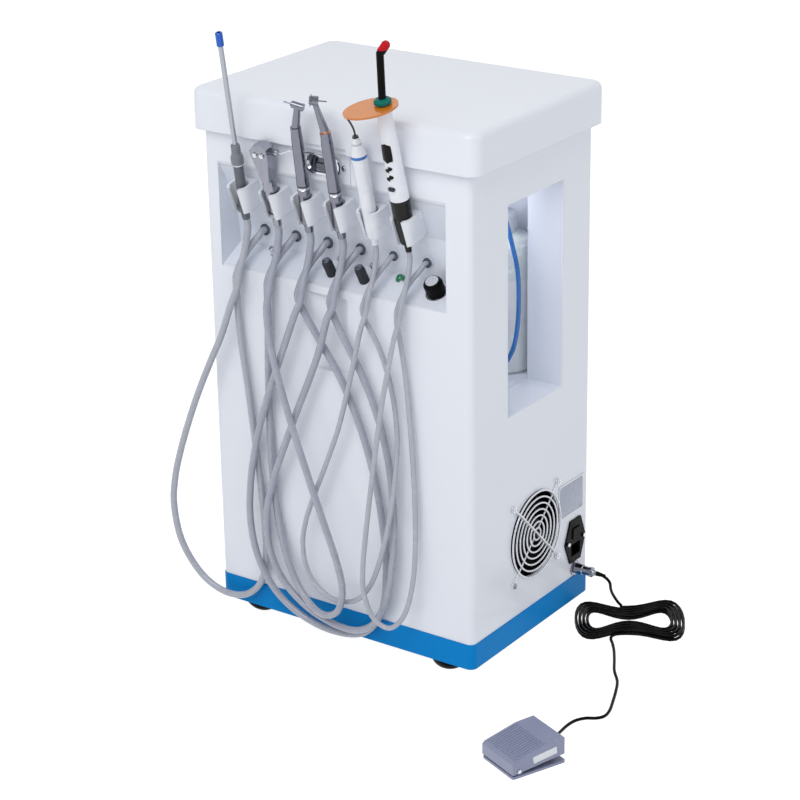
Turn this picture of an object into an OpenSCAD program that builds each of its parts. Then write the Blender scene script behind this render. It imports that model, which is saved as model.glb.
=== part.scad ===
// Portable dental unit: cabinet on casters, hinged lid, instrument recess with six
// holders, six instruments on hoses, water bottle bay, compressor and foot pedal.
// Millimetres. +Z is up, -Y is the front, +X is the side with the window and the fan.
// The origin is on the floor, under the centre of the cabinet.

/* [Cabinet] */
// Width of the cabinet
body_w = 396; // [380:1:440]
// Depth of the cabinet
body_d = 278; // [270:1:320]
// Height of the cabinet shell between base tray and lid
body_h = 607; // [590:1:680]
// Wall thickness of the cabinet shell
wall = 3; // [2:0.5:4]
// Radius of the cabinet's upright corners
corner_r = 9; // [8:1:20]
// Width of the rim that turns inwards under the lid
rim_w = 12; // [8:1:20]

/* [Base tray] */
// Height of the coloured band
band_h = 34; // [30:1:45]
// Distance that the band stands proud of the cabinet
band_proud = 1; // [0.5:0.5:3]
// Gap between the band and the floor
ground_gap = 28; // [26:1:34]
// Thickness of the deck that carries the inner parts
deck_t = 4; // [3:0.5:6]

/* [Casters] */
// Radius of a caster wheel
wheel_r = 25; // [22:0.5:25]
// Width of a caster wheel
wheel_w = 17; // [12:1:20]
// Radius of a caster's axle
axle_r = 3; // [2:0.5:4]
// Distance from the swivel axis to the wheel's axle
trail = 13; // [8:1:14]
// Distance of each swivel axis from the cabinet's side
caster_side = 48; // [46:1:68]
// Distance of each swivel axis from the cabinet's front or back
caster_end = 45; // [43:1:59]
// Radius of the swivel stem
stem_r = 5; // [4:0.5:6]

/* [Lid] */
// Height of the lid
lid_h = 52; // [45:1:70]
// Overhang of the lid over the front and the back of the cabinet
lid_over = 9.5; // [8:0.5:10]
// Overhang of the lid over the sides of the cabinet
lid_side = 13; // [8:0.5:14]
// Radius of the lid's upright corners
lid_r = 18; // [16:1:32]
// Radius of the lid's top edge
lid_edge = 9; // [4:1:12]
// Wall thickness of the lid
lid_wall = 3.5; // [2.5:0.5:5]
// Height of the notch over the latch
notch_h = 7; // [4:1:9]
// Distance of the hinges from the middle
hinge_x = 120; // [90:1:140]
// Length of a hinge
hinge_l = 50; // [40:1:60]

/* [Instrument recess] */
// Width of the recess
rec_w = 339; // [335:1:350]
// Margin between the recess and the cabinet's left side
rec_margin = 22; // [18:1:24]
// Height of the recess opening
rec_h = 137; // [130:1:150]
// Distance from the lid seam down to the recess
rec_drop = 38.5; // [36:0.5:48]
// How far down the ridge lies below the top of the recess
ridge_drop = 59; // [54:1:64]
// How far back the ridge lies
ridge_in = 32; // [28:1:36]
// How far back the foot of the recess lies
foot_in = 39.4; // [38:0.2:44]
// Fall of the recess floor from its foot to the front
floor_fall = 22.3; // [18:0.1:26]
// Thickness of the recess panel
panel_t = 2.5; // [2:0.5:4]
// Width of the panel's flange behind the cabinet wall
flange_w = 7; // [5:1:10]

/* [Holders] */
// Distance between neighbouring holders
pitch = 49; // [46:0.5:50]
// Place of the first holder from the left side of the recess
first_holder = 38.5; // [36:0.5:41]
// Wall thickness of a holder around its bore
holder_wall = 4; // [3:0.5:5]
// Bore radius at the top of a holder
bore_top_r = 11.8; // [11:0.1:12.5]
// Bore radius at the bottom of a holder
bore_low_r = 8; // [7.8:0.1:8.4]
// Height of a holder above its middle
holder_up = 16; // [14:1:20]
// Height of a holder below its middle
holder_down = 20; // [18:1:22]
// Width of the slot at the front of a holder
slot_w = 13; // [11:0.5:14]
// Forward tilt of the holders and instruments
tilt = 14; // [13:0.5:16]
// Distance of the instruments' axis in front of the cabinet, at the holders' middle
seat_out = 3.5; // [3:0.5:8]
// Gap between an instrument and the bore that it rests in
seat_gap = 0.3; // [0.2:0.05:0.5]

/* [Instruments] */
// Radius of the suction tip tube
suction_tip_r = 3.2; // [2.5:0.1:4]
// Length of the suction tip above its handle
suction_tip_l = 152; // [100:4:160]
// Radius of a handpiece's grip
grip_r = 7.6; // [7:0.1:8]
// Radius of the ultrasonic scaler's handle at its widest
scaler_r = 10; // [9:0.5:11]
// Radius of the curing light's body at its widest
light_r = 12.2; // [11.5:0.1:12.5]
// Radius of the curing light's body at its top
light_top_r = 8.8; // [8:0.2:10]
// Length of the curing light above the holder's middle
light_l = 158; // [150:1:164]
// Radius of the light guide
guide_r = 4.5; // [3.5:0.25:5]
// Length of the light guide's straight part
guide_l = 66; // [55:1:75]
// Angle by which the light guide stands straighter than the light's body
guide_lean = 11; // [0:1:14]
// Length of the oval light shield
shield_l = 66; // [60:1:74]
// Width of the oval light shield
shield_w = 46; // [40:1:50]
// Travel of the syringe's and the light's buttons
key_travel = 1.2; // [0.8:0.1:1.5]
// Radius of the wide hoses
hose_r = 4.5; // [3.5:0.25:4.5]
// Radius of the thin hoses
thin_hose_r = 3.25; // [2.5:0.25:3.5]

/* [Panel controls] */
// Radius of the power knob
knob_r = 12; // [9:0.5:12]
// Height of the power knob
knob_h = 20; // [14:1:24]
// Radius of the two water regulators
flow_r = 6.5; // [5:0.5:6.5]
// Height of the two water regulators
flow_h = 24; // [16:1:26]
// Radius of a control shaft
shaft_r = 3; // [2:0.5:3.5]
// Radius of the pilot lamp
lamp_r = 5.5; // [4:0.5:6]

/* [Window and bottles] */
// Width of the side window
win_w = 127; // [120:1:135]
// Height of the side window
win_h = 272; // [260:1:285]
// Height of the window's sill above the deck
win_sill = 278; // [268:1:290]
// Place of the window's middle, front to back
win_y = 5.5; // [0:0.5:10]
// Depth of the window's jambs
jamb_d = 52; // [45:1:56]
// Radius of a bottle
bottle_r = 42; // [36:1:43]
// Height of a bottle up to its shoulder
bottle_h = 175; // [150:5:190]
// Radius of the blue tube
tube_r = 3; // [2:0.5:3]

/* [Fan and sockets] */
// Size of the fan's square frame
fan_s = 120; // [110:1:122]
// Distance between the fan's screws
fan_pitch = 105; // [96:1:106]
// Depth of the fan
fan_t = 25; // [20:1:30]
// Height of the fan's centre above the deck
fan_z = 98.5; // [94:0.5:110]
// Place of the fan's centre, front to back
fan_y = 6; // [0:1:10]
// Wire radius of the fan guard
wire_r = 1.2; // [0.8:0.1:1.4]
// Number of rings in the fan guard
guard_rings = 7; // [5:1:8]
// Radius of a cover screw's shank
screw_r = 2; // [1.5:0.25:2.25]
// Running gap around a shaft that turns
fit_gap = 0.05; // [0.03:0.01:0.08]

/* [Foot pedal] */
// Length of the pedal
pedal_l = 76; // [70:1:90]
// Width of the pedal
pedal_w = 64; // [58:1:74]
// Height of the treadle at its hinge end
pedal_low = 22; // [20:1:26]
// Height of the treadle at its raised end
pedal_high = 34; // [31:1:40]
// Wall thickness of the treadle
treadle_t = 2.5; // [2:0.5:3]
// Radius of the pedal's cord
cord_r = 2; // [1.5:0.25:2]

/* [Hank] */
// Half length of the hank's outer loop
hank_a = 73; // [60:1:80]
// Half width of the hank's outer loop at its waist
hank_waist = 34; // [34:1:38]
// How far the hank's two ends swell beyond its waist
hank_swell = 40; // [38:1:44]
// Number of turns in the hank, a whole number and a half
hank_turns = 7.5; // [5.5:1:7.5]
// Step from one turn to the next at the hank's ends
hank_step = 5; // [5:0.25:6]
// Step from one turn to the next at the hank's waist
hank_waist_step = 7; // [7:0.25:8]

/* [Hidden] */
$fn = 64;
eps = 0.01;

// Levels and faces of the cabinet
front_y = -body_d / 2;
back_y = body_d / 2;
side_x = body_w / 2;
caster_x = side_x - caster_side;
caster_y = back_y - caster_end;
deck_z = ground_gap + band_h;
seam_z = deck_z + body_h;
top_z = seam_z + lid_h;

// Recess: a chain of points in the YZ plane, from its top down to its front edge
rec_x0 = -side_x + rec_margin;
rec_x1 = rec_x0 + rec_w;
rec_top = seam_z - rec_drop;
rec_low = rec_top - rec_h;
ridge_y = front_y + ridge_in;
ridge_z = rec_top - ridge_drop;
foot_y = front_y + foot_in;
foot_z = rec_low + floor_fall;
floor_slope = atan(floor_fall / foot_in);

// Holders and the axis that each instrument rests on
holder_x0 = rec_x0 + first_holder;
seat_y = front_y - seat_out;
seat_z = ridge_z + 20.5;
bore_rise = (bore_top_r - bore_low_r) / (holder_up + holder_down);
tail = 32;
function holder_x(i) = holder_x0 + pitch * (i - 1);
function bore_r(s) = bore_low_r + (s + holder_down) * bore_rise;
function seat_r(s) = bore_r(s) - seat_gap;
// Height at which a grip of radius r comes to rest in the bore
function rest_s(r) = (r + seat_gap - bore_low_r) / bore_rise - holder_down;

// Controls on the recess floor, each as its x and its share of the floor's depth
knob_side = 30;
control_places = [[rec_x1 - knob_side, 0.62], [holder_x(3) + 21, 0.5], [holder_x(4) + 21, 0.5]];
valve_places = [[holder_x(1) + 25, 0.7], [holder_x(3) + 28, 0.86], [holder_x(4) + 28, 0.86]];

// Hose exits in the recess
function hose_radius(i) = i < 5 ? hose_r : thin_hose_r;
exit_z = ridge_z - 31.5;
exit_back = ridge_y + (foot_y - ridge_y) * (ridge_z - exit_z) / (ridge_z - foot_z);
exit_face = front_y + 31;
exit_side = 8;

// Fan, window and base
fan_cz = deck_z + fan_z;
win_z = deck_z + win_sill;
jamb_x = side_x - jamb_d;
shelf_t = 3.5;
socket_r = 8;
boss_z = deck_z - deck_t - 3;
bottle_x = jamb_x - bottle_r - 8;
bottle_y = win_y + win_w / 2 + 20;
bottle_neck_h = 26;
cap_top = win_z + shelf_t + bottle_h + bottle_neck_h + 13;
socket_y = fan_y + 98;
socket_z = deck_z + 11;
inlet_y = fan_y + 97;
inlet_z = deck_z + 52;
plug_end = side_x + 35;

// Latch, its tab and the notch above it
latch_x = -9;
latch_drop = 18;
tab_w = 74;
tab_h = 38;
tab_t = 2;
notch_d = 2.5;
bezel_w = 53;
bezel_h = 24;
bezel_t = 4.5;

// Channel under the recess
channel_x = -13;
channel_r = 83;
channel_t = 6;
channel_h = 98;
channel_z = rec_low - flange_w - wall - channel_h;

// Rear cover
back_t = 2;
back_w = 300;
back_h = 440;
back_z = deck_z + 270;
back_lap = 14;
vent_rows = 7;
vent_step = 14;
vent_h = 5;
back_screws = [for (x = [-1, 1], z = [-1, 1])
        [x * (back_w / 2 - 7), back_y, back_z + z * (back_h / 2 - 7)]];

// Polygons of the recess in the YZ plane: the space, the panel's back and all behind the panel
recess_cut = [[front_y - 30, rec_top], [front_y, rec_top], [ridge_y, ridge_z], [foot_y, foot_z],
    [front_y, rec_low], [front_y - 30, rec_low]];
panel_back = [[front_y + wall, rec_top], [ridge_y + panel_t, ridge_z + panel_t],
    [foot_y + panel_t, foot_z - panel_t], [front_y + wall, rec_low - panel_t]];
behind_panel = [[front_y, rec_top], [ridge_y, ridge_z], [foot_y, foot_z], [back_y, foot_z],
    [back_y, rec_top + 60], [front_y, rec_top + 60]];

// Hinge axis of the lid, behind and below the seam
hinge_y = back_y + 6;
hinge_z = seam_z - 5;
knuckle_r = 4;
pin_r = 2;
lug_l = 12;
leaf_h = 34;
leaf_t = 1.5;

// How far each instrument leans to the side in its holder
suction_lean = 4.5;
handpiece_1_lean = 4.4;
handpiece_2_lean = 2.2;
neck_bend = 13;

// Syringe: its head, buttons, nut and nozzle
syringe_t = 15;
button_x = [-6, 4];
button_r = 3;
button_s = 68;
nut_s = 69;
nozzle_r = 1.25;
nozzle_points = [[21, -13.1, 68], [24.5, -13.1, 68], [29, -12, 69.8], [33.5, -10, 71.6],
    [38.5, -8.3, 72.6], [48.5, -8.1, 72.8], [60.5, -8.1, 73.5], [72.5, -8.1, 73.5], [82.5, -8.3, 72],
    [90.5, -8.5, 69]];
nozzle_route = [for (p = nozzle_points) [holder_x(2), seat_y, seat_z] + p];

// Pedal spring and ribs
spring_x = 0;
spring_y = 14;
spring_r = 5;
spring_wire = 0.8;
spring_top = 24;
rib_count = 14;

// Bottles, compressor, tank and casters
bay_x = bottle_x - bottle_r - 4;
waste_x = -138;
waste_y = -60;
comp_x = 30;
comp_y = -58;
tank_x = -20;
tank_y = 74;
tank_l = 200;
tank_r = 46;
caster_signs = [[-1, -1], [1, -1], [-1, 1], [1, 1]];
caster_turn = [205, 217, 150, 235];
bottle_tube_route = [[bottle_x, bottle_y, cap_top], [bottle_x + 1, bottle_y - 3, cap_top + 12],
    [108, 66, cap_top + 14], [124, 52, cap_top - 3], [136, 48, 525], [145, 47, 492], [147, 47, 455],
    [146, 46, 420], [141, 44, 388], [129, 42, 364],
    [120, 39.5, win_z + shelf_t + 9], [119, 39.3, win_z + shelf_t + seat_gap]];

// Foot pedal: where its middle stands, and how it is turned
pedal_x = 342;
pedal_y = -248;
pedal_turn = -23;
pedal_pivot_y = -pedal_l / 2 + 9;
pedal_pivot_z = 9;
gland_x = -12;
function pedal_point(p) = [pedal_x + p[0] * cos(pedal_turn) - p[1] * sin(pedal_turn),
    pedal_y + p[0] * sin(pedal_turn) + p[1] * cos(pedal_turn), p[2]];

// ---------- Helpers ----------
module rounded(w, d, r) {
    square([w - 2 * r, d], center = true);
    square([w, d - 2 * r], center = true);
    for (x = [-1, 1], y = [-1, 1])
        translate([x * (w / 2 - r), y * (d / 2 - r)]) circle(r);
}
module rounded_box(w, d, h, r) {
    linear_extrude(h) rounded(w, d, r);
}
module stadium(l, w) {
    square([l - w, w], center = true);
    for (x = [-1, 1]) translate([x * (l - w) / 2, 0]) circle(w / 2);
}
module along_x(h, r) {
    rotate([0, 90, 0]) cylinder(h = h, r = r);
}
module along_y(h, r) {
    rotate([-90, 0, 0]) cylinder(h = h, r = r);
}
// A section drawn as (Y, Z) points and drawn out along X
module yz_bar(x0, x1, points) {
    translate([x0, 0, 0]) rotate([90, 0, 90]) linear_extrude(x1 - x0) polygon(points);
}
// Puts its children on the axis of holder i, with height 0 at the holder's middle
module seated(i) {
    translate([holder_x(i), seat_y, seat_z]) rotate([tilt, 0, 0]) children();
}
// Puts its children on the recess floor, square to it, at x and at a share of its depth
module on_floor(x, share) {
    translate([x, front_y + share * foot_in, rec_low + share * floor_fall])
        rotate([floor_slope, 0, 0]) children();
}
module at_fan() {
    translate([side_x, fan_y, fan_cz]) rotate([0, 90, 0]) children();
}
module fan_corners() {
    for (a = [-1, 1], b = [-1, 1]) translate([a * fan_pitch / 2, b * fan_pitch / 2]) children();
}
module turned(points) {
    rotate_extrude() polygon(points);
}

// ---------- Tubes swept along a route ----------
function unit(v) = v / norm(v);
// A smooth curve through the points, with n steps in each stretch
function smooth(p, n) = [for (i = [0:len(p) - 2]) for (k = [0:n - 1])
        let(a = p[max(i - 1, 0)], b = p[i], c = p[i + 1], d = p[min(i + 2, len(p) - 1)], t = k / n)
        0.5 * (2 * b + (c - a) * t + (2 * a - 5 * b + 4 * c - d) * t * t
            + (3 * b - a - 3 * c + d) * t * t * t), p[len(p) - 1]];
function tangents(p) = [for (i = [0:len(p) - 1])
        unit(p[min(i + 1, len(p) - 1)] - p[max(i - 1, 0)])];
// One normal for each point, turned as little as possible from the one before
function normals(t, i, n) = i >= len(t) ? []
    : let(m = unit(n - t[i] * (n * t[i]))) concat([m], normals(t, i + 1, m));
module tube(p, r, sides) {
    t = tangents(p);
    first = abs(t[0][2]) > 0.9 ? [1, 0, 0] : [0, 0, 1];
    n = normals(t, 0, first);
    last = len(p) - 1;
    rings = [for (i = [0:last]) for (k = [0:sides - 1])
            p[i] + r * (cos(360 * k / sides) * n[i] + sin(360 * k / sides) * cross(t[i], n[i]))];
    walls = [for (i = [0:last - 1]) for (k = [0:sides - 1])
            let(a = i * sides + k, b = i * sides + (k + 1) % sides) for (f = [0, 1])
            f == 0 ? [a, a + sides, b] : [b, a + sides, b + sides]];
    polyhedron(concat(rings, [p[0], p[last]]), concat(walls,
        [for (k = [0:sides - 1]) [len(rings), k, (k + 1) % sides]],
        [for (k = [0:sides - 1]) [len(rings) + 1, last * sides + (k + 1) % sides, last * sides + k]]));
}

// ---------- Routes of the hoses, chosen by hand ----------
// Out of the panel, over the front edge of the recess floor
function out_part(x) = [[x + exit_side, exit_face, exit_z], [x + exit_side, -114, 540],
    [x + 6, -120, 534], [x, -127, 524], [x - 5, -135, 512], [x - 9, -147, 491], [x - 10, -148, 472]];
// Down from the tail of the instrument, along its axis and then over the front edge
tail_y = seat_y + tail * sin(tilt);
tail_z = seat_z - tail * cos(tilt);
function tail_part(x) = [[x, tail_y, tail_z - seat_gap], [x, tail_y + 2, tail_z - 8.5],
    [x, -133.5, 543], [x, -138, 527], [x, -145, 511], [x, -153, 494], [x, -158, 478]];
function joined(i, middle) = concat(tail_part(holder_x(i)), middle,
    [for (k = [6:-1:0]) out_part(holder_x(i))[k]]);
suction_route = joined(1, [[-148, -160, 452], [-164, -161, 410], [-183, -162, 371], [-204, -163, 326],
    [-223, -163, 281], [-240, -163, 235], [-253, -162, 192], [-258, -161, 150], [-249, -159, 100],
    [-220, -157, 60], [-184, -154, 42], [-150, -151, 46], [-126, -148, 70], [-117, -147, 112],
    [-119, -147, 180], [-127, -147, 260], [-136, -147, 340], [-145, -147, 410]]);
syringe_route = joined(2, [[-88, -164, 455], [-80, -168, 410], [-66, -169, 360], [-48, -169, 305],
    [-28, -169, 250], [-6, -170, 195], [14, -172, 148], [24, -173, 108], [14, -171, 74],
    [-14, -166, 60], [-46, -159, 72], [-73, -152, 102], [-91, -148, 150], [-100, -147, 210],
    [-103, -147, 290], [-102, -147, 370], [-100, -147, 430]]);
handpiece_1_route = joined(3, [[-50, -158, 455], [-66, -158, 415], [-84, -158, 370], [-102, -158, 322],
    [-118, -158, 270], [-129, -158, 215], [-132, -158, 160], [-122, -157, 108], [-96, -155, 66],
    [-56, -152, 40], [-10, -149, 30], [34, -147, 38], [62, -147, 68], [73, -147, 112],
    [73, -147, 172], [62, -147, 246], [42, -147, 316], [12, -147, 380], [-24, -147, 432]]);
handpiece_2_route = joined(4, [[0, -158, 460], [-12, -158, 420], [-30, -158, 375], [-50, -158, 330],
    [-70, -158, 282], [-90, -158, 232], [-104, -158, 182], [-104, -158, 134], [-86, -158, 92],
    [-52, -158, 63], [-12, -158, 48], [30, -158, 46], [61, -158, 64], [80, -157, 102],
    [89, -155, 152], [90, -151, 210], [84, -148, 270], [70, -147, 330], [48, -147, 385],
    [20, -147, 432]]);
scaler_route = joined(5, [[50, -158, 455], [40, -158, 415], [28, -158, 370], [14, -158, 322],
    [-4, -158, 275], [-24, -158, 228], [-41, -158, 184], [-48, -158, 146], [-40, -159, 110],
    [-17, -160, 88], [12, -160, 83], [40, -161, 94], [63, -163, 124], [80, -165, 166],
    [92, -164, 216], [97, -157, 270], [96, -149, 325], [88, -147, 380], [72, -147, 430]]);
light_route = joined(6, [[103, -163, 455], [98, -170, 415], [90, -174, 365], [82, -176, 310],
    [74, -177, 255], [66, -177, 200], [60, -177, 150], [60, -176, 112], [72, -174, 82],
    [94, -170, 72], [112, -163, 92], [120, -155, 134], [121, -149, 190], [119, -147, 260],
    [115, -147, 330], [109, -147, 400], [102, -147, 445]]);

// Cord of the foot pedal: down from the plug to the hank, and from the hank to the pedal
lead_points = [[plug_end, socket_y, socket_z], [240, 104, 72.5], [247, 105, 69], [249.5, 109, 62],
    [247, 116, 50], [243, 127, 38], [241, 138, 26], [241.5, 146, 16], [243, 151, 10]];
tail_points = [[272.5, 88.5, 2.2], [270.5, 80.5, 2.2], [273.5, 72.5, 2.2], [281.5, 63, 2.2], [293, 47, 2.2],
    [307, 24, 2.2], [321, 0, 2.2], [338, -22, 2.2], [349, -44, 2.2], [359, -68, 2.2],
    [368, -92, 2.2], [370, -108, 2.2], [364, -118, 2.2], [353.5, -125, 2.2], [346, -137, 2.2],
    [344, -152, 2.2], [345.5, -168, 3], [348.5, -183, 5]];

// Hank: its loops lie in two layers, drawn in alike at the waist
hank_c = [268, 128, 2.2];
hank_dir = 33;
hank_u = [cos(hank_dir), sin(hank_dir), 0];
hank_v = [-sin(hank_dir), cos(hank_dir), 0];
hank_rise = 2 * cord_r + 0.8;
hank_steps = 24;
function hank_point(turn) = let(
    angle = 360 * turn - 90, layer = min(turn, hank_turns - turn),
    size = 1 - layer * hank_step / hank_a, waist = hank_waist - layer * hank_waist_step,
    climb = min(max((turn - hank_turns / 2 + 0.25) * 2, 0), 1))
    hank_c + hank_a * size * cos(angle) * hank_u
    + sin(angle) * (waist + 2 * hank_swell * size * pow(cos(angle), 2)) * hank_v
    + [0, 0, hank_rise * climb];
hank_loops = [for (k = [0:hank_turns * hank_steps]) hank_point(k / hank_steps)];
// The least distance between the surfaces of two turns, measured on points
hank_fine = [for (k = [0:hank_turns * 48]) hank_point(k / 48)];
hank_gap = min([for (i = [0:len(hank_fine) - 25]) for (j = [i + 24:len(hank_fine) - 1])
        norm(hank_fine[i] - hank_fine[j])]) - 2 * cord_r;
echo(hank_gap = hank_gap);
hank_end = 2 * cord_r * hank_u;
hank_low = hank_loops[0] - hank_end;
hank_top = hank_loops[len(hank_loops) - 1] - hank_end;
hank_path = concat([hank_low], hank_loops, [hank_top]);
lead_route = concat(lead_points, [hank_top - hank_end, hank_top]);
tail_route = concat([hank_low, hank_low - hank_end], tail_points,
    [pedal_point([gland_x, pedal_l / 2 + 14, 6]), pedal_point([gland_x, pedal_l / 2 + 6, 6])]);

// ---------- Base and cabinet ----------
module base_tray() {
    color([0.08, 0.5, 0.74]) difference() {
        union() {
            difference() {
                translate([0, 0, ground_gap]) rounded_box(body_w + 2 * band_proud,
                    body_d + 2 * band_proud, band_h, corner_r + band_proud);
                translate([0, 0, ground_gap - 1]) rounded_box(body_w + 2 * band_proud - 2 * wall,
                    body_d + 2 * band_proud - 2 * wall, band_h - deck_t + 1, corner_r);
            }
            for (x = [-1, 1], y = [-1, 1]) translate([x * caster_x, y * caster_y, boss_z])
                cylinder(h = deck_z - deck_t - boss_z + eps, r = stem_r + 5);
        }
        for (x = [-1, 1], y = [-1, 1]) translate([x * caster_x, y * caster_y, boss_z - 1])
            cylinder(h = deck_z - boss_z, r = stem_r + fit_gap);
    }
}

module cabinet_shell() {
    color([0.9, 0.92, 0.96]) difference() {
        union() {
            translate([0, 0, deck_z]) rounded_box(body_w, body_d, body_h, corner_r);
            // Raised tab that carries the latch
            translate([latch_x, front_y + 1, seam_z - latch_drop]) rotate([90, 0, 0])
                linear_extrude(tab_t + 1) rounded(tab_w, 2 * tab_h, 7);
        }
        translate([0, 0, deck_z - 1]) rounded_box(body_w - 2 * wall, body_d - 2 * wall,
            body_h - wall + 1, corner_r - wall);
        translate([0, 0, deck_z]) rounded_box(body_w - 2 * rim_w, body_d - 2 * rim_w,
            body_h + 1, corner_r - wall);
        // Nothing of the tab stands above the seam
        translate([latch_x - tab_w, front_y - 2 * tab_h, seam_z]) cube([2 * tab_w, 4 * tab_h, tab_h]);
        yz_bar(rec_x0, rec_x1, recess_cut);
        translate([side_x - 2 * wall, win_y - win_w / 2, win_z]) cube([3 * wall, win_w, win_h]);
        at_fan() translate([0, 0, -2 * wall]) {
            cylinder(h = 3 * wall, r = fan_s / 2 - 3);
            fan_corners() cylinder(h = 3 * wall, r = screw_r + fit_gap);
        }
        translate([side_x - 2 * wall, inlet_y, inlet_z]) inlet_cut(3 * wall);
        translate([side_x - 2 * wall, socket_y, socket_z]) along_x(3 * wall, socket_r);
        // Shallow upright channel below the recess, which the hoses hang over
        translate([channel_x, front_y - channel_r + channel_t, channel_z])
            cylinder(h = channel_h, r = channel_r);
        translate([0, back_y, back_z]) cube([back_w - 2 * back_lap, 3 * wall, back_h - 2 * back_lap],
            center = true);
        for (p = back_screws) translate(p) rotate([-90, 0, 0])
            translate([0, 0, -3 * wall]) cylinder(h = 4 * wall, r = screw_r + fit_gap);
    }
    // Inner skin that closes the channel behind the front wall
    color([0.9, 0.92, 0.96]) intersection() {
        translate([channel_x, front_y - channel_r + channel_t, channel_z]) difference() {
            translate([0, 0, -wall]) cylinder(h = channel_h + 2 * wall, r = channel_r + wall);
            cylinder(h = channel_h, r = channel_r);
        }
        translate([channel_x - body_w / 4, front_y + wall - eps, 0]) cube([body_w / 2, body_d, top_z]);
    }
}

module rear_panel() {
    color([0.86, 0.88, 0.92]) difference() {
        translate([0, back_y + back_t / 2, back_z]) rotate([90, 0, 0])
            translate([0, 0, -back_t / 2]) linear_extrude(back_t) rounded(back_w, back_h, 8);
        for (i = [0:vent_rows - 1]) translate([0, back_y, back_z - back_h / 2 + 60 + i * vent_step])
            rotate([90, 0, 0]) linear_extrude(3 * back_t, center = true) stadium(back_w - 110, vent_h);
        for (p = back_screws) translate(p) rotate([-90, 0, 0])
            translate([0, 0, -1]) cylinder(h = 3 * back_t, r = screw_r + fit_gap);
    }
}

module screw(l) {
    difference() {
        union() {
            translate([0, 0, -l]) cylinder(h = l + eps, r = screw_r);
            cylinder(h = 1.6, r = 2 * screw_r);
        }
        for (a = [0, 90]) rotate([0, 0, a]) translate([-1.5 * screw_r, -0.4, 0.8])
            cube([3 * screw_r, 0.8, 1]);
    }
}

module cover_screws() {
    color([0.75, 0.76, 0.78]) {
        for (p = back_screws) translate(p + [0, back_t, 0]) rotate([-90, 0, 0]) screw(back_t + wall + 0.5);
        at_fan() translate([0, 0, 2 * wire_r]) fan_corners() screw(2 * wire_r + wall + 8);
    }
}

// The lid's outer form, exact: a box whose top edge is rounded all round
module lid_form() {
    w = body_w + 2 * lid_side;
    d = body_d + 2 * lid_over;
    rounded_box(w, d, lid_h - lid_edge, lid_r);
    rounded_box(w - 2 * lid_edge, d - 2 * lid_edge, lid_h, lid_r - lid_edge);
    for (y = [-1, 1]) translate([-w / 2 + lid_r, y * (d / 2 - lid_edge), lid_h - lid_edge])
        along_x(w - 2 * lid_r, lid_edge);
    for (x = [-1, 1]) translate([x * (w / 2 - lid_edge), -d / 2 + lid_r, lid_h - lid_edge])
        along_y(d - 2 * lid_r, lid_edge);
    for (x = [-1, 1], y = [-1, 1])
        translate([x * (w / 2 - lid_r), y * (d / 2 - lid_r), lid_h - lid_edge])
            rotate_extrude() translate([lid_r - lid_edge, 0]) circle(lid_edge);
}

module hinge_lugs() {
    for (x = [-hinge_l / 2, hinge_l / 2 - lug_l]) translate([x, hinge_y, hinge_z]) {
        along_x(lug_l, knuckle_r);
        translate([0, -knuckle_r, 0]) cube([lug_l, 2 * knuckle_r, seam_z - hinge_z + eps]);
    }
}

module lid() {
    color([0.92, 0.94, 0.97]) difference() {
        union() {
            translate([0, 0, seam_z]) lid_form();
            for (x = [-hinge_x, hinge_x]) translate([x, 0, 0]) hinge_lugs();
        }
        // Hollow inside, with a flange below it that rests on the cabinet's rim
        translate([0, 0, seam_z + lid_wall]) rounded_box(body_w + 2 * lid_side - 2 * lid_wall,
            body_d + 2 * lid_over - 2 * lid_wall, lid_h - 2 * lid_wall, lid_r - lid_wall);
        translate([0, 0, seam_z - 1]) rounded_box(body_w - 2 * rim_w, body_d - 2 * rim_w,
            lid_wall + 2, corner_r - wall);
        // Shallow notch in the front edge over the latch
        translate([latch_x - tab_w / 2, front_y - lid_over - 1, seam_z - 1])
            cube([tab_w, notch_d + 1, notch_h + 1]);
        for (x = [-hinge_x, hinge_x]) translate([x - hinge_l, hinge_y, hinge_z])
            along_x(2 * hinge_l, pin_r + fit_gap);
    }
}

module lid_hinges() {
    color([0.7, 0.71, 0.73]) for (x = [-hinge_x, hinge_x]) translate([x, 0, 0]) {
        translate([-hinge_l / 2, hinge_y, hinge_z]) along_x(hinge_l, pin_r);
        translate([-hinge_l / 2 + lug_l + seat_gap, hinge_y, hinge_z])
            along_x(hinge_l - 2 * lug_l - 2 * seat_gap, knuckle_r);
        translate([-hinge_l / 2 + lug_l + seat_gap, back_y, hinge_z - knuckle_r])
            cube([hinge_l - 2 * lug_l - 2 * seat_gap, hinge_y - back_y, knuckle_r]);
        translate([-hinge_l / 2, back_y, hinge_z - leaf_h]) cube([hinge_l, leaf_t, leaf_h - 1]);
        for (i = [-1, 1]) translate([i * hinge_l / 3, back_y, hinge_z - leaf_h / 2])
            along_y(leaf_t + 1, screw_r + 1);
    }
}

module latch_bezel() {
    color([0.45, 0.46, 0.5]) translate([latch_x, front_y - tab_t, seam_z - latch_drop])
        rotate([90, 0, 0]) difference() {
            union() {
                linear_extrude(bezel_t) stadium(bezel_w, bezel_h);
                for (x = [-1, 1]) translate([x * (bezel_w / 2 + 2.5), 0, 0])
                    cylinder(h = 2.5, r = screw_r + 1.5);
                for (x = [-1, 1]) translate([x * (bezel_w / 2 + 2.5), 0, 0])
                    cylinder(h = 3.5, r = screw_r + 0.4);
            }
            translate([0, 0, 1.5]) linear_extrude(bezel_t) stadium(bezel_w - 5, bezel_h - 5);
            cylinder(h = bezel_t, r = shaft_r + fit_gap, center = true);
        }
}

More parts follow.
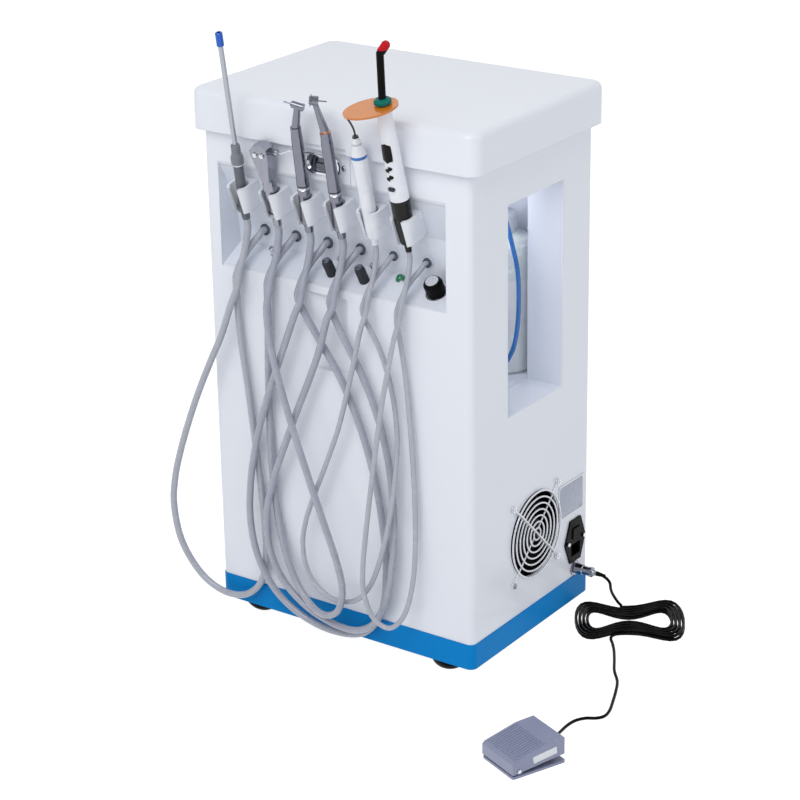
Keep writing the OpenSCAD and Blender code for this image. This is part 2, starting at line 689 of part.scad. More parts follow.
module latch_turn() {
    color([0.78, 0.79, 0.82]) translate([latch_x, front_y - tab_t, seam_z - latch_drop])
        rotate([90, 0, 0]) {
            translate([0, 0, 0.4]) cylinder(h = 2, r = shaft_r);
            translate([0, 0, 1.5 + seat_gap]) difference() {
                cylinder(h = 2, r = (bezel_h - 5) / 2 - seat_gap);
                for (x = [-1, 1]) translate([x * bezel_h / 4, 0, 1]) cylinder(h = 2, r = 1.5);
            }
            translate([0, 0, 3.2]) linear_extrude(2.8)
                stadium(bezel_h - 5 - 4 * seat_gap, 5);
        }
}

// ---------- Instrument recess ----------
module instrument_panel() {
    color([0.9, 0.92, 0.96]) {
        difference() {
            union() {
                yz_bar(rec_x0 - panel_t, rec_x1 + panel_t, panel_back);
                // Flange behind the cabinet's front wall
                translate([rec_x0 - flange_w, front_y + wall, rec_low - flange_w])
                    cube([rec_w + 2 * flange_w, panel_t, rec_h + 2 * flange_w]);
            }
            yz_bar(rec_x0, rec_x1, recess_cut);
            for (p = control_places) on_floor(p[0], p[1])
                cylinder(h = 6 * panel_t, r = shaft_r + fit_gap, center = true);
        }
        // Glands of the hoses
        for (i = [1:6]) translate([holder_x(i) + exit_side, exit_face, exit_z])
            along_y(exit_back - exit_face + panel_t / 2, hose_radius(i) + 2);
    }
}

module holder() {
    rise = holder_up + holder_down;
    low = bore_low_r + holder_wall;
    top = bore_top_r + holder_wall;
    difference() {
        union() {
            translate([0, 0, -holder_down]) cylinder(h = rise, r1 = low, r2 = top);
            // Sides that run back to the panel
            rotate([-90, 0, 0]) linear_extrude(2 * ridge_in) polygon([[-low, holder_down],
                [low, holder_down], [top, -holder_up], [-top, -holder_up]]);
        }
        translate([0, 0, -holder_down - 1]) cylinder(h = rise + 2, r1 = bore_low_r - bore_rise,
            r2 = bore_top_r + bore_rise);
        translate([-slot_w / 2, -2 * top, -holder_down - 1]) cube([slot_w, 2 * top, rise + 2]);
    }
}

module instrument_holders() {
    color([0.92, 0.94, 0.97]) difference() {
        for (i = [1:6]) seated(i) holder();
        yz_bar(rec_x0 - pitch, rec_x1 + pitch, behind_panel);
    }
}

// A knob with grip grooves round it, on a shaft through the panel
module knob(r, h, grooves, groove) {
    difference() {
        union() {
            translate([0, 0, seat_gap]) cylinder(h = h * 0.8, r = r);
            translate([0, 0, seat_gap + h * 0.8]) cylinder(h = h * 0.2, r1 = r, r2 = 0.8 * r);
            translate([0, 0, -2 * panel_t]) cylinder(h = 3 * panel_t, r = shaft_r);
        }
        for (a = [0:360 / grooves:359]) rotate([0, 0, a]) translate([r + groove / 2, 0, 2])
            cylinder(h = h, r = groove);
    }
}

module power_knob() {
    color([0.1, 0.1, 0.11]) on_floor(control_places[0][0], control_places[0][1])
        knob(knob_r, knob_h, 16, 1);
}

module flow_knob_1() {
    color([0.2, 0.2, 0.22]) on_floor(control_places[1][0], control_places[1][1])
        knob(flow_r, flow_h, 10, 0.8);
}

module flow_knob_2() {
    color([0.2, 0.2, 0.22]) on_floor(control_places[2][0], control_places[2][1])
        knob(flow_r, flow_h, 10, 0.8);
}

module needle_valves() {
    color([0.75, 0.76, 0.79]) {
        for (p = valve_places) on_floor(p[0], p[1]) turned([[0, 0], [4.5, 0], [4.5, 4], [3.2, 5],
            [3.2, 9], [4, 9.5], [4, 14], [3, 15], [0, 15]]);
        on_floor(41, 0.75) turned([[0, 0], [2.6, 0], [2.2, 1.6], [0, 1.6]]);
    }
}

module pilot_lamp() {
    color([0.15, 0.75, 0.35]) on_floor(75.5, 0.82) turned([[0, 0], [lamp_r, 0], [lamp_r, 2],
        [0.8 * lamp_r, 2.5], [0.75 * lamp_r, 5], [0.4 * lamp_r, 6.5], [0, 6.5]]);
}

// ---------- Bottles and window ----------
module bottle_bay() {
    t = panel_t;
    x1 = side_x - wall;
    color([0.88, 0.9, 0.94]) difference() {
        union() {
            translate([jamb_x, win_y - win_w / 2 - t, win_z - t])
                cube([x1 - jamb_x, win_w + 2 * t, win_h + 2 * t]);
            translate([bay_x, win_y - win_w / 2 - t, win_z - t])
                cube([jamb_x + t - bay_x, back_y - wall - 1 - win_y + win_w / 2 + t, win_h + 2 * t]);
        }
        translate([jamb_x - 1, win_y - win_w / 2, win_z]) cube([x1 - jamb_x + 2, win_w, win_h]);
        translate([bay_x + t, win_y - win_w / 2, win_z + shelf_t])
            cube([jamb_x - bay_x - t, back_y - wall - 1 - win_y + win_w / 2 - t, win_h - shelf_t]);
    }
}

module bottle_form(r, h) {
    turned([[0, 0], [r - 4, 0], [r, 4], [r, h - 14], [r - 2, h - 7], [r - 8, h - 1], [17, h + 5],
        [15, h + 8], [15, h + bottle_neck_h], [0, h + bottle_neck_h]]);
}

module bottles() {
    color([0.8, 0.86, 0.9]) {
        translate([bottle_x, bottle_y, win_z + shelf_t]) bottle_form(bottle_r, bottle_h);
        translate([waste_x, waste_y, deck_z]) bottle_form(bottle_r, bottle_h);
    }
}

module bottle_cap() {
    difference() {
        turned([[0, 0], [19, 0], [19, 16], [17, 19], [7, 19], [7, 27], [0, 27]]);
        translate([0, 0, -1]) cylinder(h = 15, r = 15 + fit_gap);
    }
}

module bottle_caps() {
    color([0.15, 0.16, 0.18]) {
        translate([bottle_x, bottle_y, win_z + shelf_t + bottle_h + bottle_neck_h - 14]) bottle_cap();
        translate([waste_x, waste_y, deck_z + bottle_h + bottle_neck_h - 14]) bottle_cap();
    }
}

module bottle_tube() {
    color([0.15, 0.5, 0.8]) tube(smooth(bottle_tube_route, 3), tube_r, 8);
}

// ---------- Fan, plate and sockets ----------
module fan_frame() {
    color([0.12, 0.12, 0.13]) at_fan() translate([0, 0, -wall - fan_t]) difference() {
        union() {
            difference() {
                linear_extrude(fan_t) rounded(fan_s, fan_s, 6);
                translate([0, 0, -1]) cylinder(h = fan_t + 2, r = fan_s / 2 - 3);
            }
            cylinder(h = 4, r = fan_s / 6);
            for (a = [0:90:270]) rotate([0, 0, a]) translate([fan_s / 6 - 1, -3, 0])
                cube([fan_s / 3 - 1, 6, 3]);
        }
        fan_corners() translate([0, 0, -1]) cylinder(h = fan_t + 2, r = screw_r + fit_gap);
        translate([0, 0, -1]) cylinder(h = 6, r = shaft_r + fit_gap);
    }
}

module fan_rotor() {
    color([0.16, 0.16, 0.17]) at_fan() translate([0, 0, -wall - fan_t]) {
        translate([0, 0, 1]) cylinder(h = 5, r = shaft_r);
        translate([0, 0, 4 + seat_gap]) cylinder(h = fan_t - 7, r = fan_s / 6);
        for (i = [0:6]) rotate([0, 0, i * 360 / 7]) translate([fan_s / 6 - 2, 0, 4 + fan_t / 2 - 3])
            rotate([40, 0, 0]) translate([0, -12, -0.8]) cube([fan_s / 2 - 5.5 - fan_s / 6 + 2, 24, 1.6]);
    }
}

module fan_guard() {
    ring_step = (fan_s / 2 - 3 - 8) / (guard_rings - 1);
    color([0.8, 0.81, 0.83]) at_fan() {
        for (i = [0:guard_rings - 1]) translate([0, 0, 2.8 * wire_r]) rotate_extrude()
            translate([8 + i * ring_step, 0]) circle(wire_r);
        for (a = [45:90:315]) rotate([0, 0, a]) translate([6, 0, wire_r])
            along_x(fan_pitch / sqrt(2) - 6 - screw_r - 1.5 * wire_r, wire_r);
        fan_corners() translate([0, 0, wire_r]) rotate_extrude()
            translate([screw_r + 1.2 * wire_r, 0]) circle(wire_r);
    }
}

module rating_plate() {
    color([0.85, 0.86, 0.88]) translate([side_x, fan_y + 57, fan_cz - 7.5]) cube([1, 61, 49]);
}

module inlet_flange() {
    polygon([[-13, 30], [13, 30], [25, 0], [13, -30], [-13, -30], [-25, 0]]);
}

module inlet_cut(d) {
    translate([0, -13, -24]) cube([d, 26, 48]);
}

module power_inlet() {
    color([0.13, 0.13, 0.15]) translate([side_x, inlet_y, inlet_z]) {
        difference() {
            union() {
                rotate([90, 0, 90]) linear_extrude(2.5) inlet_flange();
                translate([-24, -12.5, -23.5]) cube([24 + eps, 25, 47]);
            }
            translate([-17, -11, -21]) cube([40, 22, 17]);
            translate([-1, -9, 3]) cube([10, 18, 16]);
        }
        // Contacts, rocker switch and screws
        for (p = [[-5, -15], [5, -15], [0, -9]]) translate([-17 - eps, p[0] - 1, p[1] - 2])
            cube([10, 2, 4]);
        yz_bar(-1 - eps, 4, [[-8, 4], [8, 4], [8, 18], [-8, 18]]);
        for (y = [-1, 1]) translate([2.5 - eps, 19 * y, 0]) along_x(1.5, 2.6);
    }
}

module pedal_socket() {
    color([0.3, 0.31, 0.33]) translate([side_x, socket_y, socket_z]) {
        along_x(2, socket_r + 2);
        translate([-14, 0, 0]) along_x(14 + eps, socket_r - fit_gap);
    }
}

// ---------- Compressor and inner parts ----------
module fins(n, step, w, d) {
    for (i = [0:n - 1]) translate([-w / 2, -d / 2, i * step]) cube([w, d, step / 2]);
}

module compressor() {
    color([0.55, 0.57, 0.6]) translate([comp_x, comp_y, deck_z]) {
        translate([-90, -45, 0]) cube([180, 90, 4]);
        for (x = [-70, 70], y = [-32, 32]) translate([x, y, 4 - eps]) cylinder(h = 12, r = 10);
        translate([-80, -40, 16 - 2 * eps]) cube([160, 80, 4]);
        translate([-55, 0, 64]) along_x(110, 45);
        for (x = [-68, 52]) translate([x, -24, 20 - 3 * eps]) cube([16, 48, 90]);
        for (x = [-60, 60]) translate([x, 0, 109]) {
            fins(4, 6, 44, 44);
            translate([0, 0, -2]) cylinder(h = 26, r = 18);
        }
    }
}

module air_tank() {
    color([0.82, 0.84, 0.87]) translate([tank_x, tank_y, deck_z]) {
        translate([-tank_l / 2, 0, tank_r + 10]) along_x(tank_l, tank_r);
        for (x = [-1, 1]) translate([x * tank_l / 2, 0, tank_r + 10]) rotate([0, x * 90, 0])
            turned([[0, -1], [tank_r, -1], [tank_r, 0], [0.9 * tank_r, 7], [0.6 * tank_r, 14], [0, 17]]);
        for (x = [-60, 60]) translate([x - 5, -tank_r + 8, 0]) cube([10, 2 * tank_r - 16, 25]);
        translate([20, 0, 2 * tank_r + 8]) cylinder(h = 12, r = 6);
    }
}

module valve_block() {
    color([0.7, 0.66, 0.5]) translate([-side_x + wall, -20, 330]) {
        cube([30, 90, 40]);
        for (i = [0:3]) translate([30 - eps, 14 + 21 * i, 20]) along_x(16, 7);
        for (i = [0:3]) translate([15, 14 + 21 * i, 40 - eps]) cylinder(h = 8, r = 4);
    }
}

module control_board() {
    color([0.1, 0.4, 0.2]) translate([-side_x + wall, -70, 420]) {
        for (y = [8, 132], z = [8, 92]) translate([0, y, z]) along_x(10 + eps, 3);
        translate([10, 0, 0]) cube([1.6, 140, 100]);
        translate([11.6 - eps, 20, 20]) cube([14, 40, 30]);
        translate([11.6 - eps, 80, 15]) cube([22, 34, 40]);
        for (i = [0:4]) translate([11.6 - eps, 16 + 24 * i, 78]) along_x(16, 5);
    }
}

// ---------- Casters ----------
module caster_place(i) {
    translate([caster_signs[i][0] * caster_x, caster_signs[i][1] * caster_y, 0])
        rotate([0, 0, caster_turn[i]]) children();
}

module caster_fork(i) {
    arm_y = wheel_w / 2 + 1;
    crown_z = 2 * wheel_r + 1.2;
    color([0.25, 0.26, 0.28]) caster_place(i) {
        translate([0, 0, crown_z]) cylinder(h = boss_z - 0.4 - crown_z, r = 13);
        translate([0, 0, crown_z]) cylinder(h = deck_z - 2 - crown_z, r = stem_r);
        translate([0, -arm_y - 2.5, crown_z]) cube([trail + 7, 2 * arm_y + 5, 2]);
        for (y = [-arm_y - 2.5, arm_y]) translate([0, y, 0]) rotate([90, 0, 0]) mirror([0, 0, 1])
            linear_extrude(2.5) polygon([[trail - 6, wheel_r - 5], [trail + 5, wheel_r - 5],
                [trail + 7, wheel_r + 4], [trail + 7, crown_z + 2], [-9, crown_z + 2]]);
        translate([trail, -arm_y - 3.5, wheel_r]) along_y(2 * arm_y + 7, axle_r);
    }
}

module caster_wheel(i) {
    color([0.1, 0.1, 0.11]) caster_place(i) translate([trail, 0, wheel_r]) rotate([90, 0, 0])
        difference() {
            rotate_extrude() polygon([[axle_r + fit_gap, -wheel_w / 2 - 0.7],
                [7, -wheel_w / 2 - 0.7], [7, -wheel_w / 2 + 2], [0.72 * wheel_r, -wheel_w / 2 + 2],
                [0.76 * wheel_r, -wheel_w / 2], [wheel_r - 3, -wheel_w / 2],
                [wheel_r, -wheel_w / 2 + 3], [wheel_r, wheel_w / 2 - 3], [wheel_r - 3, wheel_w / 2],
                [0.76 * wheel_r, wheel_w / 2], [0.72 * wheel_r, wheel_w / 2 - 2],
                [7, wheel_w / 2 - 2], [7, wheel_w / 2 + 0.7], [axle_r + fit_gap, wheel_w / 2 + 0.7]]);
        }
}

module caster_fork_fl() { caster_fork(0); }
module caster_fork_fr() { caster_fork(1); }
module caster_fork_bl() { caster_fork(2); }
module caster_fork_br() { caster_fork(3); }
module caster_wheel_fl() { caster_wheel(0); }
module caster_wheel_fr() { caster_wheel(1); }
module caster_wheel_bl() { caster_wheel(2); }
module caster_wheel_br() { caster_wheel(3); }

// ---------- Instruments ----------
// Tail of an instrument, with the collar that it rests on in the bore
module tail_piece(hose, grip) {
    turned([[0, -tail], [hose + 0.6, -tail], [hose + 1.2, -holder_down - 2],
        [seat_r(-holder_down), -holder_down], [seat_r(6 - holder_down), 6 - holder_down],
        [grip, 7 - holder_down], [0, 7 - holder_down]]);
}
// Leans its children towards +X by an angle, about the middle of the holder's lower end
module leaned(angle) {
    translate([0, 0, -holder_down]) rotate([0, angle, 0]) translate([0, 0, holder_down]) children();
}

module suction_handle() {
    color([0.42, 0.44, 0.47]) seated(1) {
        tail_piece(hose_r, 6.2);
        leaned(suction_lean) turned([[0, 2 - holder_down], [6.2, 2 - holder_down], [6.2, 44],
            [5.6, 45], [5.6, 46], [7.8, 47], [8, 55], [6.4, 60], [5.8, 61], [5.8, 71], [4.8, 73],
            [0, 73]]);
    }
}

module suction_tip() {
    top = 73 + suction_tip_l;
    color([0.85, 0.87, 0.9]) seated(1) leaned(suction_lean) difference() {
        turned([[0, 73], [suction_tip_r, 73], [suction_tip_r, top - 17],
            [suction_tip_r + 1.4, top - 17], [suction_tip_r + 1.4, top - 1],
            [suction_tip_r + 0.6, top], [0, top]]);
        translate([0, 0, top - 40]) cylinder(h = 41, r = suction_tip_r - 1.1);
    }
}

module syringe_body() {
    color([0.62, 0.64, 0.68]) seated(2) {
        tail_piece(hose_r, 5.9);
        turned([[0, 2 - holder_down], [5.9, 2 - holder_down], [6.2, 0], [8.6, 8], [9.2, 16], [8.4, 24],
            [6.6, 33], [0, 33]]);
        difference() {
            rotate([90, 0, 0]) linear_extrude(syringe_t, center = true)
                polygon([[-5, 30], [6, 30], [11, 60], [11, 76], [4, 82], [-8, 80], [-15, 72]]);
            for (x = button_x) translate([x, -syringe_t / 2 - 1, button_s])
                along_y(8, button_r + 0.2);
        }
        // Nut that holds the nozzle
        translate([11 - eps, 4, nut_s]) along_x(7, 4.4);
        translate([18 - 2 * eps, 4, nut_s]) rotate([0, 90, 0]) cylinder(h = 3, r1 = 4.4, r2 = 2.4);
    }
}

module syringe_button(x) {
    seated(2) translate([x, -syringe_t / 2 - key_travel - 0.8, button_s]) {
        along_y(6, button_r);
        translate([0, -0.6, 0]) along_y(1, button_r - 0.6);
    }
}

module air_button() {
    color([0.2, 0.45, 0.75]) syringe_button(button_x[0]);
}

module water_button() {
    color([0.2, 0.45, 0.75]) syringe_button(button_x[1]);
}

module syringe_nozzle() {
    color([0.78, 0.79, 0.82]) tube(smooth(nozzle_route, 3), nozzle_r, 8);
}

// Grip of a handpiece up to the collar at the foot of its neck
module handpiece_grip(neck_s, neck_r) {
    turned([[0, 2 - holder_down], [grip_r, 2 - holder_down], [grip_r, 28], [grip_r - 0.5, 28.5],
        [grip_r - 0.5, 31], [grip_r + 0.2, 31.5], [grip_r + 0.2, 36], [grip_r, 37],
        [grip_r - 0.3, 60], [neck_r + 1, (neck_s + 60) / 2 + 12], [neck_r + 0.25, neck_s - 3.5],
        [neck_r + 0.6, neck_s - 3.5], [neck_r + 0.6, neck_s + 1], [0, neck_s + 1]]);
}

module handpiece_1() {
    color([0.6, 0.62, 0.65]) seated(3) {
        tail_piece(hose_r, grip_r - 0.6);
        leaned(handpiece_1_lean) {
            handpiece_grip(112, 6);
            // Neck bent to the right, with the head on it and the drill pointing to the left
            translate([0, 0, 112 - eps]) rotate([0, neck_bend, 0]) {
                turned([[0, -1], [5.2, -1], [4.4, 20], [4, 31], [0, 31]]);
                translate([0, 0, 32]) rotate([0, 0, 12]) {
                    translate([-7, 0, 0]) along_x(13, 4.4);
                    translate([6 - eps, 0, 0]) along_x(1.6, 4.9);
                    translate([-8.5, 0, 0]) along_x(1.5 + eps, 3);
                    translate([-18, 0, 0]) along_x(10, 0.8);
                }
            }
        }
    }
}

module handpiece_2() {
    color([0.6, 0.62, 0.65]) seated(4) {
        tail_piece(hose_r, grip_r - 0.6);
        leaned(handpiece_2_lean) {
            handpiece_grip(112, 6.2);
            // Neck bent to the left, with a round head tipped forwards on it
            translate([0, 0, 112 - eps]) rotate([0, -neck_bend, 0]) {
                turned([[0, -1], [5.2, -1], [5.3, 3.5], [3.6, 30], [3.4, 41], [0, 41]]);
                translate([0, 0, 42]) rotate([35, -60, 0]) turned([[0, -15], [0.8, -15], [0.8, -5],
                    [5.6, -5], [5.6, 3], [7.2, 3.6], [7.2, 4.8], [4.6, 5], [4.6, 6], [0, 6]]);
            }
        }
    }
}

module scaler() {
    color([0.9, 0.91, 0.94]) seated(5) {
        tail_piece(thin_hose_r, 8.6);
        turned([[0, 2 - holder_down], [seat_r(2 - holder_down), 2 - holder_down],
            [8.6, rest_s(8.6)], [8.9, holder_up], [scaler_r, 86], [scaler_r - 0.4, 87],
            [scaler_r - 0.4, 90], [scaler_r - 0.2, 91], [6.2, 104], [3.9, 113], [3.4, 115], [0, 115]]);
        tube([[0, 0, 114], [0, 0, 120], [-1, 0, 125], [-3, 0, 130], [-6, 0, 135], [-8.5, 0, 138]],
            1.2, 8);
    }
}

// Radius of the curing light's body at a height on its axis
function light_body_r(s) = light_r - (light_r - light_top_r) * (s - 38) / (light_l - 38);

module curing_light() {
    color([0.92, 0.93, 0.96]) seated(6) difference() {
        union() {
            tail_piece(thin_hose_r, 7.8);
            turned([[0, 2 - holder_down], [seat_r(2 - holder_down), 2 - holder_down],
                [seat_r(holder_up), holder_up], [light_r - 0.4, 37], [light_r, 38],
                [light_top_r, light_l - 2], [light_top_r - 1.5, light_l], [0, light_l]]);
            // Display window and two level windows on the front
            intersection() {
                turned([[0, 90], [light_body_r(90) + 0.4, 90], [light_body_r(116) + 0.4, 116], [0, 116]]);
                translate([-6.5, -20, 93]) cube([13, 20, 18]);
            }
            for (s = [72, 83]) intersection() {
                turned([[0, 60], [light_body_r(60) + 0.4, 60], [light_body_r(95) + 0.4, 95], [0, 95]]);
                translate([0, -20, s]) rotate([-90, 20, 0]) linear_extrude(20) stadium(6, 3);
            }
        }
        translate([0, -light_r - 1, 58]) rotate([-90, 0, 0]) linear_extrude(light_r - 3)
            stadium(9.5, 5.5);
        translate([0, 0, light_l - 10]) cylinder(h = 12, r = shaft_r + fit_gap);
    }
}

module light_button() {
    color([0.2, 0.2, 0.22]) seated(6) translate([0, -light_body_r(58) - key_travel, 58])
        rotate([-90, 0, 0]) linear_extrude(5) stadium(9, 5);
}

module light_guide() {
    color([0.08, 0.08, 0.09]) seated(6) {
        translate([0, 0, light_l - 9]) cylinder(h = 12, r = shaft_r);
        turned([[0, light_l + seat_gap], [guide_r, light_l + seat_gap], [guide_r, light_l + 6],
            [guide_r + 4, light_l + 6], [guide_r + 6, light_l + 8], [guide_r + 6, light_l + 11],
            [guide_r + 3, light_l + 13], [0, light_l + 13]]);
        translate([0, 0, light_l + 11]) rotate([-guide_lean, 0, 0]) {
            cylinder(h = guide_l - 11, r = guide_r);
            translate([0, 0, guide_l - 11]) {
                sphere(guide_r);
                rotate([0, 38, 0]) {
                    cylinder(h = 7, r = guide_r);
                    translate([0, 0, 3]) turned([[0, 0], [guide_r + 0.8, 0], [guide_r + 0.8, 12],
                        [guide_r - 0.6, 14.5], [0, 15]]);
                }
            }
        }
    }
}

module light_shield() {
    color([0.95, 0.6, 0.2]) seated(6) translate([0, 0, light_l + 3]) difference() {
        rotate([0, 0, 50]) translate([-15, 0, 0]) linear_extrude(2.6)
            polygon([for (k = [0:71]) [shield_l / 2 * cos(5 * k), shield_w / 2 * sin(5 * k)]]);
        translate([0, 0, -1]) cylinder(h = 6, r = guide_r + seat_gap);
    }
}

// ---------- Hoses ----------
module suction_hose() {
    color([0.72, 0.73, 0.77]) tube(smooth(suction_route, 2), hose_r, 10);
}

module syringe_hose() {
    color([0.66, 0.67, 0.72]) tube(smooth(syringe_route, 2), hose_r, 10);
}

module handpiece_hoses() {
    color([0.66, 0.67, 0.72]) {
        tube(smooth(handpiece_1_route, 2), hose_r, 10);
        tube(smooth(handpiece_2_route, 2), hose_r, 10);
    }
}

module thin_hoses() {
    color([0.7, 0.71, 0.75]) {
        tube(smooth(scaler_route, 2), thin_hose_r, 8);
        tube(smooth(light_route, 2), thin_hose_r, 8);
    }
}

// ---------- Foot pedal ----------
module at_pedal() {
    translate([pedal_x, pedal_y, 0]) rotate([0, 0, pedal_turn]) children();
}

module pedal_base() {
    ear_x = pedal_w / 2 - treadle_t - 0.5;
    color([0.5, 0.52, 0.6]) at_pedal() {
        difference() {
            union() {
                rounded_box(pedal_w, pedal_l, 3, 3);
                for (x = [-ear_x, ear_x - 4]) translate([x, 0, 0]) rotate([90, 0, 90])
                    linear_extrude(4) polygon([[pedal_pivot_y - 6, 2], [pedal_pivot_y + 8, 2],
                        [pedal_pivot_y + 4, pedal_pivot_z + 4], [pedal_pivot_y - 3, pedal_pivot_z + 4]]);
            }
            translate([-pedal_w, pedal_pivot_y, pedal_pivot_z]) along_x(2 * pedal_w, pin_r + fit_gap);
        }
        // Switch, spring seat and the cord's gland
        translate([-24, 2, 3 - eps]) cube([18, 26, 8]);
        translate([spring_x, spring_y, 3 - eps]) cylinder(h = 2, r = spring_r - 1.6);
        translate([gland_x - 6, pedal_l / 2 - 10, 3 - eps]) cube([12, 10, 6]);
        translate([gland_x, pedal_l / 2 - eps, 6]) along_y(6, cord_r + 1);
    }
}

module pedal_treadle() {
    w = pedal_w / 2;
    front = -pedal_l / 2;
    back = pedal_l / 2 - 2;
    color([0.55, 0.57, 0.66]) at_pedal() {
        difference() {
            yz_bar(-w, w, [[front, 5.5], [back, 12.5], [back, pedal_high], [back - 26, pedal_high - 1],
                [front + 3, pedal_low], [front, pedal_low - 3]]);
            yz_bar(treadle_t - w, w - treadle_t, [[front + treadle_t, 0], [back - treadle_t, 0],
                [back - treadle_t, pedal_high - treadle_t], [back - 26, pedal_high - 1 - treadle_t],
                [front + 3 + treadle_t, pedal_low - treadle_t], [front + treadle_t, pedal_low - 5]]);
            // Way for the cord's gland under the back wall
            translate([gland_x - 8, back - 2 * treadle_t, 0]) cube([16, 4 * treadle_t, 15]);
        }
        // Hinge pin, fixed in the treadle
        translate([-w - 0.8, pedal_pivot_y, pedal_pivot_z]) along_x(2 * w + 1.6, pin_r);
        // Grip ribs that run along the treadle
        for (i = [0:rib_count - 1]) translate([-w + 4 + i * (pedal_w - 8) / (rib_count - 1), 0, 0])
            yz_bar(-0.9, 0.9, [[front + 4, pedal_low - 1], [back - 27, pedal_high - 2],
                [back - 27, pedal_high - 0.2], [front + 5, pedal_low + 1.3]]);
        // Seat of the spring, up into the top wall, with a peg inside the spring
        translate([spring_x, spring_y, spring_top])
            cylinder(h = pedal_high - treadle_t - 0.5 - spring_top, r = spring_r + 2);
        translate([spring_x, spring_y, spring_top - 2]) cylinder(h = 2 + eps, r = spring_r - 1.6);
    }
}

module pedal_spring() {
    turns = 4;
    rings = 10;
    h0 = 3 + spring_wire;
    rise = spring_top - 3 - 2 * spring_wire;
    color([0.75, 0.76, 0.78]) at_pedal() tube([for (k = [0:turns * rings])
        [spring_x + spring_r * cos(360 * k / rings), spring_y + spring_r * sin(360 * k / rings),
        h0 + 0.1 + (rise - 0.2) * k / (turns * rings)]], spring_wire, 6);
}

module pedal_plug() {
    color([0.12, 0.12, 0.13]) translate([side_x + 2, socket_y, socket_z]) rotate([0, 90, 0])
        turned([[0, 0], [6.5, 0], [7, 1], [7, 12], [6, 13], [6, 21], [6.8, 22], [6.8, 26], [4.2, 27],
            [3.6, 29], [3, plug_end - side_x - 2], [0, plug_end - side_x - 2]]);
}

module pedal_cord() {
    color([0.12, 0.12, 0.13]) {
        tube(smooth(lead_route, 3), cord_r, 8);
        tube(smooth(tail_route, 2), cord_r, 8);
    }
}

module pedal_cord_hank() {
    color([0.12, 0.12, 0.13]) tube(hank_path, cord_r, 6);
}

base_tray();
cabinet_shell();
rear_panel();
cover_screws();
lid();
lid_hinges();
latch_bezel();
latch_turn();
instrument_panel();
instrument_holders();
power_knob();
flow_knob_1();
flow_knob_2();
needle_valves();
pilot_lamp();
bottle_bay();
bottles();
bottle_caps();
bottle_tube();
fan_frame();
fan_rotor();
fan_guard();
rating_plate();
power_inlet();
pedal_socket();
compressor();
air_tank();
valve_block();
control_board();
caster_fork_fl();
caster_fork_fr();
caster_fork_bl();
caster_fork_br();
caster_wheel_fl();
caster_wheel_fr();
caster_wheel_bl();
caster_wheel_br();
suction_handle();
suction_tip();
syringe_body();
syringe_nozzle();
air_button();
water_button();
handpiece_1();
handpiece_2();
scaler();
curing_light();
light_button();
light_guide();
light_shield();
suction_hose();
syringe_hose();
handpiece_hoses();
thin_hoses();
pedal_base();
pedal_treadle();
pedal_spring();
pedal_plug();
pedal_cord();
pedal_cord_hank();
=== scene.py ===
import math
import bmesh
import bpy
from mathutils import Matrix, Vector


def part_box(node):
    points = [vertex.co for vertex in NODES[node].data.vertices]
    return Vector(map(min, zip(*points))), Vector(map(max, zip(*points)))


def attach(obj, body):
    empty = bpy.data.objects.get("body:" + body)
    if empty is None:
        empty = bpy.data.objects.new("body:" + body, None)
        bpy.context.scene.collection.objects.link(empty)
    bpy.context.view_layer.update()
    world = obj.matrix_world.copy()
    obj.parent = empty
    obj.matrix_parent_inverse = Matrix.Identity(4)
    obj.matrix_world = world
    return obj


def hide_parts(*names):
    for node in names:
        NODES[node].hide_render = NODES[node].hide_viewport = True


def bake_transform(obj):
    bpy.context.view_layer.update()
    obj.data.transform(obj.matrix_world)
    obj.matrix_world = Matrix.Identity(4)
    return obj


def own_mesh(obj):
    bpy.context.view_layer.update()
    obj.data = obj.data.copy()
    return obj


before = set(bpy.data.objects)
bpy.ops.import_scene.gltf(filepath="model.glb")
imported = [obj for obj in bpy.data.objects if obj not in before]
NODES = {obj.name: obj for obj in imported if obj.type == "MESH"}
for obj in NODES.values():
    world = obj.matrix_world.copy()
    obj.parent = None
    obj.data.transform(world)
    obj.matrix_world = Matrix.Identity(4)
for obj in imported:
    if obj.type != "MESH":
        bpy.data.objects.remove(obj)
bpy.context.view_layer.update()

scene = bpy.context.scene
MM = 0.001


# ---------- Camera, at the photograph's viewing angle ----------
def make_camera():
    azimuth, elevation, roll = (math.radians(a) for a in (35.22, 21.75, -0.96))
    place, lens = (1.6987, -2.4121, 1.4792), 110.74
    right = Vector((math.cos(azimuth), math.sin(azimuth), 0))
    back = Vector((math.sin(azimuth) * math.cos(elevation),
                   -math.cos(azimuth) * math.cos(elevation), math.sin(elevation)))
    up = back.cross(right)
    side = right * math.cos(roll) + up * math.sin(roll)
    top = up * math.cos(roll) - right * math.sin(roll)
    data = bpy.data.cameras.new("camera")
    data.sensor_width = 36
    data.lens = lens
    data.clip_start, data.clip_end = 0.05, 50
    cam = bpy.data.objects.new("camera", data)
    turn = Matrix((side, top, back)).transposed().to_4x4()
    cam.matrix_world = Matrix.Translation(place) @ turn
    scene.collection.objects.link(cam)
    scene.camera = cam


make_camera()


# ---------- Mesh helpers ----------
def smooth_object(name, mesh, sharp):
    """An object of that mesh, smooth but for edges sharper than that many degrees."""
    mesh.shade_smooth()
    mesh.set_sharp_from_angle(angle=math.radians(sharp))
    obj = bpy.data.objects.new(name, mesh)
    scene.collection.objects.link(obj)
    return obj


def new_object(name, verts, faces):
    """An object of those faces, all turned outwards."""
    mesh = bpy.data.meshes.new(name)
    mesh.from_pydata([tuple(v) for v in verts], [], faces)
    mesh.validate()
    mesh.update()
    bm = bmesh.new()
    bm.from_mesh(mesh)
    bmesh.ops.recalc_face_normals(bm, faces=bm.faces)
    bm.to_mesh(mesh)
    bm.free()
    return smooth_object(name, mesh, 35)


